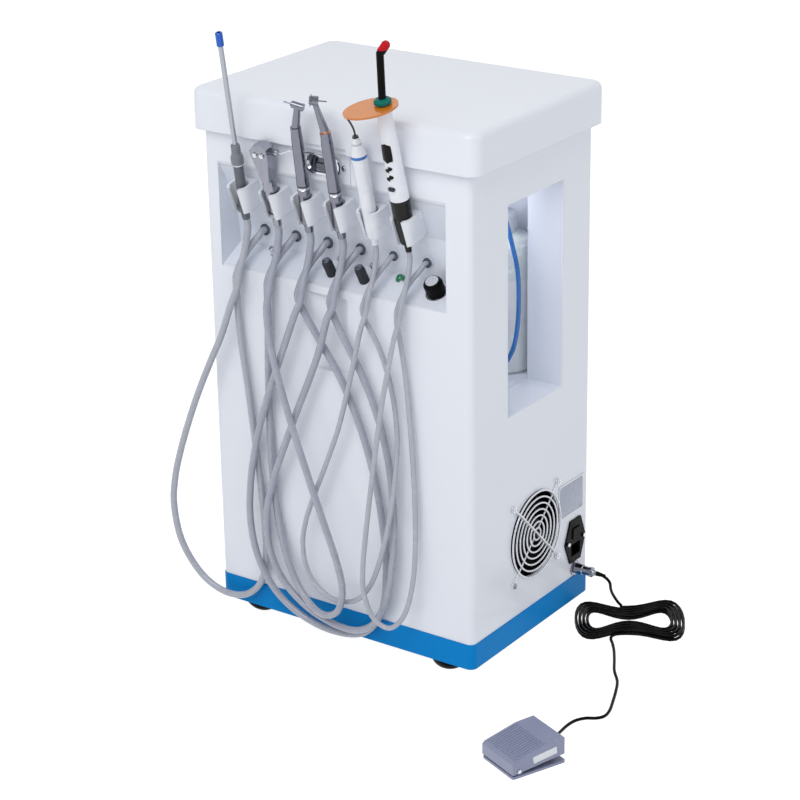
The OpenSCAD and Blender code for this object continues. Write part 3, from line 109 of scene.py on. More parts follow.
def smooth_route(points, steps):
    """Catmull-Rom curve through the points."""
    out = []
    for i in range(len(points) - 1):
        a, b = points[max(i - 1, 0)], points[i]
        c, d = points[i + 1], points[min(i + 2, len(points) - 1)]
        for k in range(steps):
            t = k / steps
            out.append(0.5 * (2 * b + (c - a) * t + (2 * a - 5 * b + 4 * c - d) * t * t
                              + (3 * b - a - 3 * c + d) * t ** 3))
    out.append(points[-1])
    return out


def tube_mesh(name, path, radius, sides):
    """A tube swept along path."""
    last = len(path) - 1
    tangents = [(path[min(i + 1, last)] - path[max(i - 1, 0)]).normalized() for i in range(last + 1)]
    normal = Vector((1, 0, 0)) if abs(tangents[0].z) > 0.9 else Vector((0, 0, 1))
    verts, faces = [], []
    for p, t in zip(path, tangents):
        normal = (normal - t * normal.dot(t)).normalized()
        other = t.cross(normal)
        for k in range(sides):
            a = 2 * math.pi * k / sides
            verts.append(p + radius * (math.cos(a) * normal + math.sin(a) * other))
    for i in range(last):
        for k in range(sides):
            n = (k + 1) % sides
            faces.append((i * sides + k, i * sides + n, (i + 1) * sides + n, (i + 1) * sides + k))
    faces.append(tuple(reversed(range(sides))))
    faces.append(tuple(last * sides + k for k in range(sides)))
    return new_object(name, verts, faces)


def lathe(name, profile, place, segments=48):
    """Turns (radius, height) pairs in mm round Z. Radius 0 closes the form."""
    verts, rings = [], []
    for r, z in profile:
        if r < 1e-6:
            rings.append([len(verts)])
            verts.append(place @ Vector((0, 0, z * MM)))
        else:
            rings.append(list(range(len(verts), len(verts) + segments)))
            for k in range(segments):
                a = 2 * math.pi * k / segments
                verts.append(place @ Vector((r * MM * math.cos(a), r * MM * math.sin(a), z * MM)))
    faces = []
    for low, high in zip(rings, rings[1:]):
        for k in range(segments):
            n = (k + 1) % segments
            if len(low) == 1:
                faces.append((low[0], high[n], high[k]))
            elif len(high) == 1:
                faces.append((low[k], low[n], high[0]))
            else:
                faces.append((low[k], low[n], high[n], high[k]))
    return new_object(name, verts, faces)


def ring(name, radius, wire, place, segments=48, sides=12):
    """A torus of that radius and wire radius, in mm, square to the place's Z."""
    verts, faces = [], []
    for i in range(segments):
        a = 2 * math.pi * i / segments
        for k in range(sides):
            b = 2 * math.pi * k / sides
            r = (radius + wire * math.cos(b)) * MM
            verts.append(place @ Vector((r * math.cos(a), r * math.sin(a), wire * math.sin(b) * MM)))
    for i in range(segments):
        for k in range(sides):
            j, n = (i + 1) % segments, (k + 1) % sides
            faces.append((i * sides + k, j * sides + k, j * sides + n, i * sides + n))
    return new_object(name, verts, faces)


def slab(name, outline, thick, place, edge):
    """A flat piece of that outline, in mm, with rounded edges. It rises along the place's Z."""
    bm = bmesh.new()
    low = [bm.verts.new(Vector((x * MM, y * MM, 0))) for x, y in outline]
    face = bm.faces.new(low)
    rise = bmesh.ops.extrude_face_region(bm, geom=[face])
    bmesh.ops.translate(bm, vec=(0, 0, thick * MM),
                        verts=[v for v in rise["geom"] if isinstance(v, bmesh.types.BMVert)])
    bmesh.ops.bevel(bm, geom=[e for e in bm.edges if abs(e.verts[0].co.z - e.verts[1].co.z) < 1e-9],
                    offset=edge * MM, segments=2, profile=0.5, affect="EDGES")
    bmesh.ops.recalc_face_normals(bm, faces=bm.faces)
    bmesh.ops.transform(bm, matrix=place, verts=bm.verts)
    mesh = bpy.data.meshes.new(name)
    bm.to_mesh(mesh)
    bm.free()
    return smooth_object(name, mesh, 40)


def rect(width, height, r, steps=3):
    """The outline of a rectangle whose corners have radius r."""
    out = []
    for cx, cy, start in ((1, 1, 0), (-1, 1, 90), (-1, -1, 180), (1, -1, 270)):
        for k in range(steps + 1):
            a = math.radians(start + 90 * k / steps)
            out.append((cx * (width / 2 - r) + r * math.cos(a),
                        cy * (height / 2 - r) + r * math.sin(a)))
    return out


# ---------- Places in mm, from the nodes' boxes or as in the part -----------
def corners_of(node):
    """The low and the high corner of a node's box."""
    return [Vector(corner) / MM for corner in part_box(node)]


def middle_of(node):
    low, high = corners_of(node)
    return (low + high) / 2


# The instruments' holders: their tilt, the y and z of their seats, their x and how far they reach down
TILT = math.radians(14)
SEAT = (-142.5, 592.0)
HOLDER_X = [-137.5 + 49 * i for i in range(6)]
HOLDER_DOWN = 32
# The cabinet's right side and its front, which is as far from the middle as its back
SHELL_HIGH = corners_of("cabinet_shell")[1]
SIDE_X, FRONT_Y = SHELL_HIGH.x, -SHELL_HIGH.y
# The recess with the knobs
RECESS_DEPTH, RECESS_RISE, RECESS_Z = 39.4, 22.3, 493.5
FLOOR_SLOPE = math.atan(RECESS_RISE / RECESS_DEPTH)
GLAND_OUT, GLAND_Y, GLAND_Z = 8, -108, 540
# The foot pedal, and the axis of the water bottle
PEDAL_X, PEDAL_Y, PEDAL_TURN = 342, -248, math.radians(-23)
BOTTLE_X, BOTTLE_Y = 96, 89
CORNERS = ("fl", "fr", "bl", "br")
# Turns a flat piece so that it faces +X with its top up
FACING_X = Matrix.Rotation(math.pi / 2, 4, "Z") @ Matrix.Rotation(math.pi / 2, 4, "X")
# Turns an axis from Z to X
ALONG_X = Matrix.Rotation(math.pi / 2, 4, "Y")


def at(x, y, z):
    """A place moved by x, y and z in mm."""
    return Matrix.Translation((x * MM, y * MM, z * MM))


def seated(i, s=0, lean=0):
    """On the axis of holder i, at height s; lean turns it towards +X about the holder's foot."""
    place = at(HOLDER_X[i], *SEAT) @ Matrix.Rotation(TILT, 4, "X")
    if lean:
        place = place @ at(0, 0, -20) @ Matrix.Rotation(math.radians(lean), 4, "Y") @ at(0, 0, 20)
    return place @ at(0, 0, s)


def on_floor(x, share):
    """On the recess's sloping floor, at that share of its depth."""
    return (at(x, FRONT_Y + share * RECESS_DEPTH, RECESS_Z + share * RECESS_RISE)
            @ Matrix.Rotation(FLOOR_SLOPE, 4, "X"))


POWER_KNOB = on_floor(133, 0.62)


def pedal_place(x, y, z):
    """A place given from the middle of the foot pedal, in its own directions."""
    return at(PEDAL_X, PEDAL_Y, 0) @ Matrix.Rotation(PEDAL_TURN, 4, "Z") @ at(x, y, z)


# ---------- Materials ----------
def srgb(r, g, b):
    """The linear colour of a screen colour."""
    def one(c):
        c /= 255
        return c / 12.92 if c <= 0.04045 else ((c + 0.055) / 1.055) ** 2.4
    return (one(r), one(g), one(b), 1)


def colour_of(node):
    """The socket with a node's colour. A mix node has one for each kind of value."""
    return node.outputs[2 if node.bl_idname == "ShaderNodeMix" else 0]


class Nodes:
    """A short way to add and join the shader nodes of a material or of the world."""
    def __init__(self, owner):
        owner.use_nodes = True
        self.tree = owner.node_tree
        self.tree.nodes.clear()
        self.coords = self.add("ShaderNodeTexCoord")

    def add(self, kind, inputs=None, **values):
        """A new node with those values, and with those values of its inputs."""
        node = self.tree.nodes.new(kind)
        for key, value in values.items():
            setattr(node, key, value)
        for key, value in (inputs or {}).items():
            node.inputs[key].default_value = value
        return node

    def join(self, a, out, b, into):
        self.tree.links.new(a.outputs[out], b.inputs[into])

    def noise(self, scale, detail, stretch=None):
        """A noise in the object's own coordinates, whose scale may differ along each axis."""
        node = self.add("ShaderNodeTexNoise", {"Scale": scale, "Detail": detail})
        if stretch:
            mapping = self.add("ShaderNodeMapping", {"Scale": stretch})
            self.join(self.coords, "Object", mapping, "Vector")
            self.join(mapping, "Vector", node, "Vector")
        else:
            self.join(self.coords, "Object", node, "Vector")
        return node

    def ramp(self, source, out, stops):
        """A ramp between two colours, each with its place."""
        node = self.add("ShaderNodeValToRGB")
        for point, (place, colour) in zip(node.color_ramp.elements, stops):
            point.position = place
            point.color = colour
        self.join(source, out, node, "Fac")
        return node

    def range(self, source, out, low, high, start=0.3, end=0.7):
        """Maps the source's values from start and end to low and high."""
        node = self.add("ShaderNodeMapRange", {"From Min": start, "From Max": end,
                                               "To Min": low, "To Max": high})
        self.join(source, out, node, "Value")
        return node

    def mix(self, factor, out, a, b):
        """Mixes two colours, each a plain colour or a node."""
        node = self.add("ShaderNodeMix", data_type="RGBA")
        self.tree.links.new(factor.outputs[out], node.inputs["Factor"])
        for value, key in ((a, 6), (b, 7)):
            if isinstance(value, tuple):
                node.inputs[key].default_value = value
            else:
                self.tree.links.new(colour_of(value), node.inputs[key])
        return node


class Surface(Nodes):
    """The nodes of a material: a principled shader, and what is joined to it."""
    def __init__(self, owner):
        super().__init__(owner)
        self.out = self.add("ShaderNodeOutputMaterial")
        self.shader = self.add("ShaderNodeBsdfPrincipled")
        self.join(self.shader, "BSDF", self.out, "Surface")


def shade(colour, factor):
    """The colour made darker or lighter by that factor."""
    return tuple(min(c * factor, 1) for c in colour[:3]) + (1,)


def add_edge_rub_and_painted_highlight(n, base, colour, edge_rub_and_painted_highlight):
    """A lighter colour along the edges: partly rubbed wear, partly a painted edge highlight."""
    soft = n.add("ShaderNodeBevel", {"Radius": 0.0012}, samples=4)
    geometry = n.add("ShaderNodeNewGeometry")
    dot = n.add("ShaderNodeVectorMath", operation="DOT_PRODUCT")
    n.join(soft, "Normal", dot, 0)
    n.join(geometry, "Normal", dot, 1)
    edge = n.ramp(dot, "Value", [(0.80, (edge_rub_and_painted_highlight, edge_rub_and_painted_highlight, edge_rub_and_painted_highlight, 1)), (0.97, (0, 0, 0, 1))])
    return n.mix(edge, "Color", base, shade(colour, 1.5))


def add_soil(n, base, soil, height=0.06):
    """Dust, most at the floor and none above that height."""
    apart = n.add("ShaderNodeSeparateXYZ")
    n.join(n.coords, "Object", apart, "Vector")
    fall = n.range(apart, "Z", soil, 0.0, 0.0, height)
    return n.mix(fall, "Result", base, srgb(120, 112, 100))


def add_hub(n, base, middle, radius):
    """A wheel's grey middle."""
    away = n.add("ShaderNodeVectorMath", {1: middle}, operation="DISTANCE")
    n.join(n.coords, "Object", away, 0)
    rim = n.add("ShaderNodeMath", {1: radius * MM}, operation="LESS_THAN")
    n.join(away, "Value", rim, 0)
    return n.mix(rim, "Value", base, srgb(150, 152, 158))


def add_bands(n, base, place, direction, stripes):
    """Rings of other colours: (from, to, colour) along the line from place."""
    shifted = n.add("ShaderNodeVectorMath", {1: place}, operation="SUBTRACT")
    along = n.add("ShaderNodeVectorMath", {1: direction}, operation="DOT_PRODUCT")
    n.join(n.coords, "Object", shifted, 0)
    n.join(shifted, "Vector", along, 0)
    for start, end, stripe in stripes:
        inside = n.add("ShaderNodeMath", {1: (start + end) / 2 * MM, 2: (end - start) / 2 * MM},
                       operation="COMPARE")
        n.join(along, "Value", inside, 0)
        base = n.mix(inside, "Value", base, stripe)
    return base


MATERIALS = {}


def material(name, colour, rough=0.4, metal=0.0, vary=0.05, grain=40, bump=0.15, bump_scale=900,
             depth=0.0002, coat=0.0, through=0.0, ior=1.45, stretch=None, edge_rub_and_painted_highlight=0.0, bevel=0.5,
             bands=None, hub=None, soil=0.0, spec=0.5, subsurface=0.0, rough_swing=0.06):
    """A surface with grain in its colour, gloss and relief. bands are a place, a direction and
    [(from, to, colour)...] in mm, for sleeves of another colour; hub is a wheel's middle and the
    radius of its grey part. bevel rounds the edges' look, in mm."""
    made = bpy.data.materials.new(name)
    n = Surface(made)
    for key, value in (("Metallic", metal), ("Coat Weight", coat), ("Coat Roughness", 0.08),
                       ("IOR", ior), ("Transmission Weight", through), ("Specular IOR Level", spec),
                       ("Subsurface Weight", subsurface), ("Subsurface Scale", 0.002)):
        n.shader.inputs[key].default_value = value
    large = n.noise(grain, 4, stretch)
    base = n.ramp(large, "Fac", [(0.3, shade(colour, 1 - vary)), (0.7, shade(colour, 1 + vary))])
    # Lighter edges: partly rubbed wear, partly a painted edge highlight.
    if edge_rub_and_painted_highlight:
        base = add_edge_rub_and_painted_highlight(n, base, colour, edge_rub_and_painted_highlight)
    if soil:
        base = add_soil(n, base, soil)
    if hub:
        base = add_hub(n, base, *hub)
    if bands:
        base = add_bands(n, base, *bands)
    n.tree.links.new(colour_of(base), n.shader.inputs["Base Color"])
    fine = n.noise(bump_scale, 2, stretch)
    swing = n.range(large, "Fac", max(rough - rough_swing, 0.02), rough + rough_swing)
    n.join(swing, "Result", n.shader, "Roughness")
    relief = n.add("ShaderNodeBump", {"Strength": bump, "Distance": depth})
    n.join(fine, "Fac", relief, "Height")
    if bevel:
        rounded = n.add("ShaderNodeBevel", {"Radius": bevel * MM}, samples=4)
        n.join(rounded, "Normal", relief, "Normal")
    n.join(relief, "Normal", n.shader, "Normal")
    MATERIALS[name] = made


def axis_of(i, lean=0):
    """The start and direction of an instrument's axis, for its coloured bands."""
    place = seated(i, 0, lean)
    return tuple(place.translation), tuple(place.to_3x3() @ Vector((0, 0, 1)))


STEEL = srgb(128, 130, 141)
material("white_gloss", srgb(238, 241, 248), 0.32, vary=0.005, grain=5, bump=0.015, bump_scale=260,
         depth=0.0004, coat=0.3, bevel=1.2, rough_swing=0.01)
material("white_panel", srgb(232, 236, 245), 0.34, vary=0.015, grain=8, bump=0.06, bump_scale=300,
         depth=0.0003, coat=0.25, bevel=1.0)
material("white_moulded", srgb(238, 240, 246), 0.25, vary=0.015, grain=30, bump=0.05, bump_scale=500,
         coat=0.4, bevel=1.4, subsurface=0.05)
material("blue_gloss", srgb(0, 132, 206), 0.42, vary=0.04, grain=7, bump=0.06, bump_scale=300,
         bevel=1.0, spec=0.12)
material("grey_coat", srgb(205, 209, 217), 0.45, vary=0.015, grain=20, bump=0.2, bump_scale=1400,
         bevel=0.5, edge_rub_and_painted_highlight=0.2)
material("chrome_plate", srgb(214, 216, 222), 0.12, 1.0, vary=0.04, grain=120, bump=0.05,
         bump_scale=700, bevel=0.3)
material("steel_satin", srgb(150, 152, 162), 0.16, 1.0, vary=0.08, grain=60, bump=0.1,
         bump_scale=600, stretch=(4, 4, 0.6), edge_rub_and_painted_highlight=0.25, bevel=0.3)
material("dark_chrome", srgb(92, 94, 102), 0.16, 1.0, vary=0.06, grain=80, bump=0.06, bevel=0.5)
material("black_satin", srgb(9, 9, 10), 0.40, vary=0.15, grain=90, bump=0.3, bump_scale=2200,
         edge_rub_and_painted_highlight=0.06, bevel=0.4, spec=0.08)
material("dark_grip", srgb(50, 52, 58), 0.5, vary=0.1, grain=120, bump=0.35, bump_scale=2400,
         edge_rub_and_painted_highlight=0.2, bevel=0.4, spec=0.3)
material("lamp_green", srgb(18, 150, 92), 0.12, vary=0.08, grain=300, bump=0.1, coat=0.6, through=0.35)
material("bottle_clear", srgb(240, 247, 251), 0.25, vary=0.02, grain=40, bump=0.08, bump_scale=300,
         through=0.1, ior=1.42, bevel=0, subsurface=0.3)
material("cap_pale", srgb(214, 220, 228), 0.4, vary=0.03, grain=90, bump=0.2, bump_scale=900, bevel=0.5)
material("tube_blue", srgb(30, 120, 205), 0.18, vary=0.05, grain=60, bump=0.05, coat=0.5,
         through=0.25, bevel=0)
material("plate_print", srgb(166, 171, 187), 0.3, 0.3, vary=0.03, grain=60, bump=0.2,
         bump_scale=1600, stretch=(1, 6, 1), bevel=0.2)
material("plate_satin", srgb(206, 209, 214), 0.34, 0.85, vary=0.03, grain=60, bump=0.2,
         bump_scale=1600, stretch=(1, 6, 1), bevel=0.2)
material("cast_grey", srgb(140, 144, 150), 0.55, 0.6, vary=0.08, grain=90, bump=0.6, bump_scale=1500,
         edge_rub_and_painted_highlight=0.25)
material("brass", srgb(190, 160, 96), 0.3, 1.0, vary=0.08, grain=50, bump=0.15, edge_rub_and_painted_highlight=0.2)
material("board_green", srgb(22, 96, 56), 0.4, vary=0.18, grain=220, bump=0.3, bump_scale=1500)
material("hose_pale", srgb(176, 179, 189), 0.24, vary=0.04, grain=50, bump=0.08, bump_scale=900,
         bevel=0, subsurface=0.1, coat=0.6)
material("hose_mid", srgb(166, 169, 182), 0.26, vary=0.05, grain=50, bump=0.08, bump_scale=900,
         bevel=0, coat=0.6)
material("cord_black", srgb(8, 8, 9), 0.30, vary=0.2, grain=160, bump=0.2, bump_scale=1600,
         bevel=0, spec=0.08)
material("pedal_paint", srgb(144, 149, 176), 0.34, vary=0.06, grain=500, bump=0.55, bump_scale=900,
         depth=0.00025, edge_rub_and_painted_highlight=0.3, bevel=0.9, coat=0.25)
for wheel in CORNERS:
    low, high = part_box("caster_wheel_" + wheel)
    material("wheel_" + wheel, srgb(18, 18, 20), 0.5, vary=0.15, grain=120, bump=0.3, bump_scale=1800,
             soil=0.04, bevel=0.5, spec=0.25, hub=((Vector(low) + Vector(high)) / 2, 13.5))
material("fork_steel", srgb(70, 72, 78), 0.35, 0.9, vary=0.1, grain=60, bump=0.2, edge_rub_and_painted_highlight=0.35, bevel=0.3)
material("shield_orange", srgb(240, 146, 44), 0.12, vary=0.04, grain=60, bump=0.03, coat=0.6,
         through=0.35, ior=1.49, bevel=0.4)
material("glass_black", srgb(8, 8, 10), 0.12, vary=0.1, grain=60, bump=0.02, bevel=0.3, spec=0.2)
material("guard_chrome", srgb(226, 228, 233), 0.3, 0.4, vary=0.04, grain=120, bump=0.05,
         bump_scale=700, bevel=0.3)
material("knob_silver", srgb(222, 224, 229), 0.3, 0.4, vary=0.04, grain=120, bump=0.1, bevel=0.3)
material("label_white", srgb(236, 238, 242), 0.4, vary=0.02, grain=300, bump=0.1, bevel=0.2)
material("grommet", srgb(88, 92, 100), 0.55, vary=0.08, grain=300, bump=0.2, bevel=0.3)
WHITE, DARK = srgb(238, 240, 246), srgb(46, 48, 54)
COPPER, BLUE = srgb(190, 142, 120), srgb(40, 110, 190)
material("suction_grip", srgb(100, 104, 112), 0.45, vary=0.05, grain=90, bump=0.25, bump_scale=1500,
         bands=(*axis_of(0, 4.5), [(44, 46.5, WHITE), (46.5, 73.5, srgb(128, 132, 140))]))
material("suction_tube", srgb(176, 180, 188), 0.2, 0.6, vary=0.015, grain=80, bump=0.03,
         coat=0.3, stretch=(4, 4, 0.6), bands=(*axis_of(0, 4.5), [(207.6, 240, srgb(30, 92, 186))]))
for name, holder, lean, more in (("handpiece_a", 2, 4.4, []),
                                 ("handpiece_b", 3, 2.2, [(112.8, 115.0, COPPER)])):
    material(name, STEEL, 0.13, 1.0, vary=0.06, grain=60, bump=0.08, bump_scale=900,
             stretch=(4, 4, 0.6), edge_rub_and_painted_highlight=0.2, bevel=0.3,
             bands=(*axis_of(holder, lean),
                    [(28.2, 31.2, srgb(212, 214, 220)), (33, 34.4, DARK)] + more))
material("scaler_white", srgb(238, 240, 246), 0.26, vary=0.015, grain=40, bump=0.05, coat=0.4,
         bands=(*axis_of(4), [(86.6, 90.4, BLUE), (103.6, 106, srgb(200, 203, 210)),
                              (112.5, 150, srgb(30, 30, 34))]))
material("light_white", srgb(240, 241, 247), 0.26, vary=0.015, grain=40, bump=0.04, spec=0.35,
         bands=(*axis_of(5), [(-40, 40, srgb(7, 7, 8))]))
material("guide_black", srgb(6, 6, 7), 0.15, vary=0.1, grain=80, bump=0.02, spec=0.1,
         bands=(*axis_of(5), [(157, 163.6, srgb(170, 172, 178)), (163.6, 171.4, srgb(24, 112, 104)),
                              (228.5, 260, srgb(196, 26, 36))]))


def finish(obj, name, body=None):
    """Gives obj a material. Where a body is named, obj rides on it."""
    obj.data.materials.clear()
    obj.data.materials.append(MATERIALS[name])
    if body:
        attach(obj, body)
    return obj


# ---------- Hoses ----------
def out_part(x):
    """The hose's start: from its gland, beside holder x, out and down."""
    return [(x + GLAND_OUT, GLAND_Y, GLAND_Z), (x + GLAND_OUT, GLAND_Y - 6, GLAND_Z),
            (x + 6, -120, 534), (x, -127, 524),
            (x - 5, -135, 512), (x - 9, -147, 491), (x - 10, -148, 472)]


def tail_part(x):
    """The hose's end under holder x, from the instrument down."""
    y = SEAT[0] + HOLDER_DOWN * math.sin(TILT)
    z = SEAT[1] - HOLDER_DOWN * math.cos(TILT)
    return [(x, y, z - 0.3), (x, y + 2, z - 8.5), (x, -133.5, 543), (x, -138, 527), (x, -145, 511),
            (x, -153, 494), (x, -158, 478)]


# Name, node, radius, material, slot, and the points from the instrument down and back up
HOSES = [
    ("hose_suction", "suction_hose", 4.5, "hose_pale", "hose_light", [
        (-148, -160, 452), (-164, -161, 410), (-183, -162, 371), (-204, -163, 326), (-223, -163, 281),
        (-240, -163, 235), (-253, -162, 192), (-258, -161, 150), (-249, -159, 100), (-220, -157, 60),
        (-184, -154, 42), (-150, -151, 46), (-126, -148, 70), (-117, -147, 112), (-119, -147, 180),
        (-127, -147, 260), (-136, -147, 340), (-145, -147, 410)]),
    ("hose_syringe", "syringe_hose", 4.5, "hose_mid", "hose_grey", [
        (-88, -164, 455), (-80, -168, 410), (-66, -169, 360), (-48, -169, 305), (-28, -169, 250),
        (-6, -170, 195), (14, -172, 148), (24, -173, 108), (14, -171, 74), (-14, -166, 60),
        (-46, -159, 72), (-73, -152, 102), (-91, -148, 150), (-100, -147, 210), (-103, -147, 290),
        (-102, -147, 370), (-100, -147, 430)]),
    ("hose_handpiece_1", "handpiece_hoses", 4.5, "hose_mid", "hose_grey", [
        (-50, -158, 455), (-66, -158, 415), (-84, -158, 370), (-102, -158, 322), (-118, -158, 270),
        (-129, -158, 215), (-132, -158, 160), (-122, -157, 108), (-96, -155, 66), (-56, -152, 40),
        (-10, -149, 30), (34, -147, 38), (62, -147, 68), (73, -147, 112), (73, -147, 172),
        (62, -147, 246), (42, -147, 316), (12, -147, 380), (-24, -147, 432)]),
    ("hose_handpiece_2", "handpiece_hoses", 4.5, "hose_mid", "hose_grey", [
        (0, -158, 460), (-12, -158, 420), (-30, -158, 375), (-50, -158, 330), (-70, -158, 282),
        (-90, -158, 232), (-104, -158, 182), (-104, -158, 134), (-86, -158, 92), (-52, -158, 63),
        (-12, -158, 48), (30, -158, 46), (61, -158, 64), (80, -157, 102), (89, -155, 152),
        (90, -151, 210), (84, -148, 270), (70, -147, 330), (48, -147, 385), (20, -147, 432)]),
    ("hose_scaler", "thin_hoses", 3.25, "hose_pale", "hose_light", [
        (50, -158, 455), (40, -158, 415), (28, -158, 370), (14, -158, 322), (-4, -158, 275),
        (-24, -158, 228), (-41, -158, 184), (-48, -158, 146), (-40, -159, 110), (-17, -160, 88),
        (12, -160, 83), (40, -161, 94), (63, -163, 124), (80, -165, 166), (92, -164, 216),
        (97, -157, 270), (96, -149, 325), (88, -147, 380), (72, -147, 430)]),
    ("hose_light", "thin_hoses", 3.25, "hose_pale", "hose_light", [
        (103, -163, 455), (98, -170, 415), (90, -174, 365), (82, -176, 310), (74, -177, 255),
        (66, -177, 200), (60, -177, 150), (60, -176, 112), (72, -174, 82), (94, -170, 72),
        (112, -163, 92), (120, -155, 134), (121, -149, 190), (119, -147, 260), (115, -147, 330),
        (109, -147, 400), (102, -147, 445)]),
]


def follow_instrument(hose):
    """Bakes the hose's place into its mesh. The line of its last stretch leans forward, so that
    the hose's start at its gland, which is as high, lies behind it."""
    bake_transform(hose)


def make_hoses():
    for i, (name, node, r, look, slot, middle) in enumerate(HOSES):
        x = HOLDER_X[i]
        points = tail_part(x) + middle + list(reversed(out_part(x)))
        path = list(reversed(smooth_route([Vector(p) * MM for p in points], 7)))
        hose = finish(tube_mesh(name, path, r * MM, 16), look)
        follow_instrument(hose)
        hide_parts(node)
        grommet = ring("grommet_%d" % (i + 1), r + 1.6, 1.5,
                       at(x + GLAND_OUT, GLAND_Y - 0.4, GLAND_Z) @ Matrix.Rotation(math.pi / 2, 4, "X"))
        finish(grommet, "grommet", "cabinet")


make_hoses()


# ---------- Cord of the foot pedal ----------
CORD_R, CORD_Z = 2.0, 2.2
# From the plug to the hank, and on the floor from the hank to the pedal
LEAD = [(233, 104, 73), (240, 104, 72.5), (247, 105, 69), (249.5, 109, 62), (247, 116, 50),
        (243, 127, 38), (241, 138, 26), (241.5, 146, 16), (243, 151, 10)]
TAIL = [(x, y, CORD_Z) for x, y in (
    (272.5, 88.5), (270.5, 80.5), (273.5, 72.5), (281.5, 63), (293, 47), (307, 24), (321, 0),
    (338, -22), (349, -44), (359, -68), (368, -92), (370, -108), (364, -118), (353.5, -125),
    (346, -137), (344, -152))] + [(345.5, -168, 3), (348.5, -183, 5)]
HANK_DIR = math.radians(33)
HANK_U = Vector((math.cos(HANK_DIR), math.sin(HANK_DIR), 0))
HANK_V = Vector((-math.sin(HANK_DIR), math.cos(HANK_DIR), 0))
HANK_CENTRE = Vector((268, 128, CORD_Z))
# Half length, half width at the waist, swell at the ends, turns, and what each turn is
# shorter and narrower than the one outside it
HANK_A, HANK_WAIST, HANK_SWELL, HANK_TURNS, HANK_STEP, HANK_IN = 73, 34, 40, 7.5, 5, 7
HANK_RISE = 2 * CORD_R + 0.8


def hank_point(turn):
    """The hank's point after that many turns. It goes inwards in the lower layer, then outwards
    again in the upper one."""
    angle = math.radians(360 * turn - 90)
    layer = min(turn, HANK_TURNS - turn)
    size = 1 - layer * HANK_STEP / HANK_A
    waist = HANK_WAIST - layer * HANK_IN
    climb = min(max((turn - HANK_TURNS / 2 + 0.25) * 2, 0), 1)
    return (HANK_CENTRE + HANK_A * size * math.cos(angle) * HANK_U
            + math.sin(angle) * (waist + 2 * HANK_SWELL * size * math.cos(angle) ** 2) * HANK_V
            + Vector((0, 0, HANK_RISE * climb)))


def from_end(end, inner):
    """A place at a cord's end with its Z along the cord."""
    turn = (inner - end).normalized().to_track_quat("Z", "Y")
    return Matrix.Translation(end) @ turn.to_matrix().to_4x4()


def make_pedal_cord():
    steps = 40
    loops = [hank_point(k / steps) for k in range(int(HANK_TURNS * steps) + 1)]
    end = 2 * CORD_R * HANK_U
    low, top = loops[0] - end, loops[-1] - end
    gland = [pedal_place(-12, 52, 6).translation / MM, pedal_place(-12, 44, 6).translation / MM]
    lead = smooth_route([Vector(p) for p in LEAD] + [top - end, top], 6)
    tail = smooth_route([low, low - end] + [Vector(p) for p in TAIL] + gland, 5)
    path = list(reversed(tail)) + loops + list(reversed(lead))
    path = [p * MM for p in path]
    cord = finish(tube_mesh("pedal_lead", path, CORD_R * MM, 10), "cord_black", "cabinet")
    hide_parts("pedal_cord", "pedal_cord_hank")
    relief = lathe("pedal_strain_relief", [(0, -1), (3.6, -1), (3.8, 0), (3.6, 2), (3.1, 2.6), (3.4, 4),
                   (2.9, 4.8), (3.1, 6.4), (2.6, 7.2), (2.8, 8.8), (2.35, 10), (2.2, 14), (0, 14)],
                   from_end(path[0], path[1]), 32)
    finish(relief, "cord_black", "cabinet")
    boot = lathe("plug_strain_relief", [(0, -1), (3.1, -1), (3.2, 1), (2.9, 3), (2.6, 6), (2.3, 9),
                 (2.15, 12), (0, 12)], from_end(path[-1], path[-2]), 32)
    finish(boot, "cord_black", "cabinet")


make_pedal_cord()


# ---------- Tube of the water bottle, nozzle of the syringe, spring of the pedal ----------
BOTTLE_TUBE_R, NOZZLE_R = 3, 1.25
BOTTLE_TUBE = [(BOTTLE_X, BOTTLE_Y, 557.5), (97, 86, 569.5), (108, 66, 571.5), (124, 52, 554.5),
               (136, 48, 525), (145, 47, 492), (147, 47, 455), (146, 46, 420), (141, 44, 388),
               (129, 42, 364), (120, 39.5, 352.5), (119, 39.3, 343.8)]
NOZZLE = [(-67.5, -155.6, 660), (-64, -155.6, 660), (-59.5, -154.5, 661.8), (-55, -152.5, 663.6),
          (-50, -150.8, 664.6), (-40, -150.6, 664.8), (-28, -150.6, 665.5), (-16, -150.6, 665.5),
          (-6, -150.8, 664), (2, -151, 661)]


def make_small_tubes():
    path = smooth_route([Vector(p) * MM for p in BOTTLE_TUBE], 8)
    blue = finish(tube_mesh("water_tube", path, BOTTLE_TUBE_R * MM, 16), "tube_blue", "cabinet")
    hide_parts("bottle_tube")
    path = smooth_route([Vector(p) * MM for p in NOZZLE], 8)
    tip = finish(tube_mesh("nozzle_tube", path, NOZZLE_R * MM, 16), "chrome_plate", "syringe")
    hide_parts("syringe_nozzle")


make_small_tubes()


def make_pedal_spring():
    """The coil under the treadle."""
    turns, steps, radius, wire, back, foot, height = 4, 24, 5, 0.8, 14, 3.9, 19.2
    coil = []
    for k in range(turns * steps + 1):
        angle = 2 * math.pi * k / steps
        coil.append(pedal_place(radius * math.cos(angle), back + radius * math.sin(angle),
                                foot + height * k / (turns * steps)).translation)
    spring = finish(tube_mesh("treadle_spring", coil, wire * MM, 10), "chrome_plate", "cabinet")
    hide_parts("pedal_spring")
    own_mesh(spring)


make_pedal_spring()


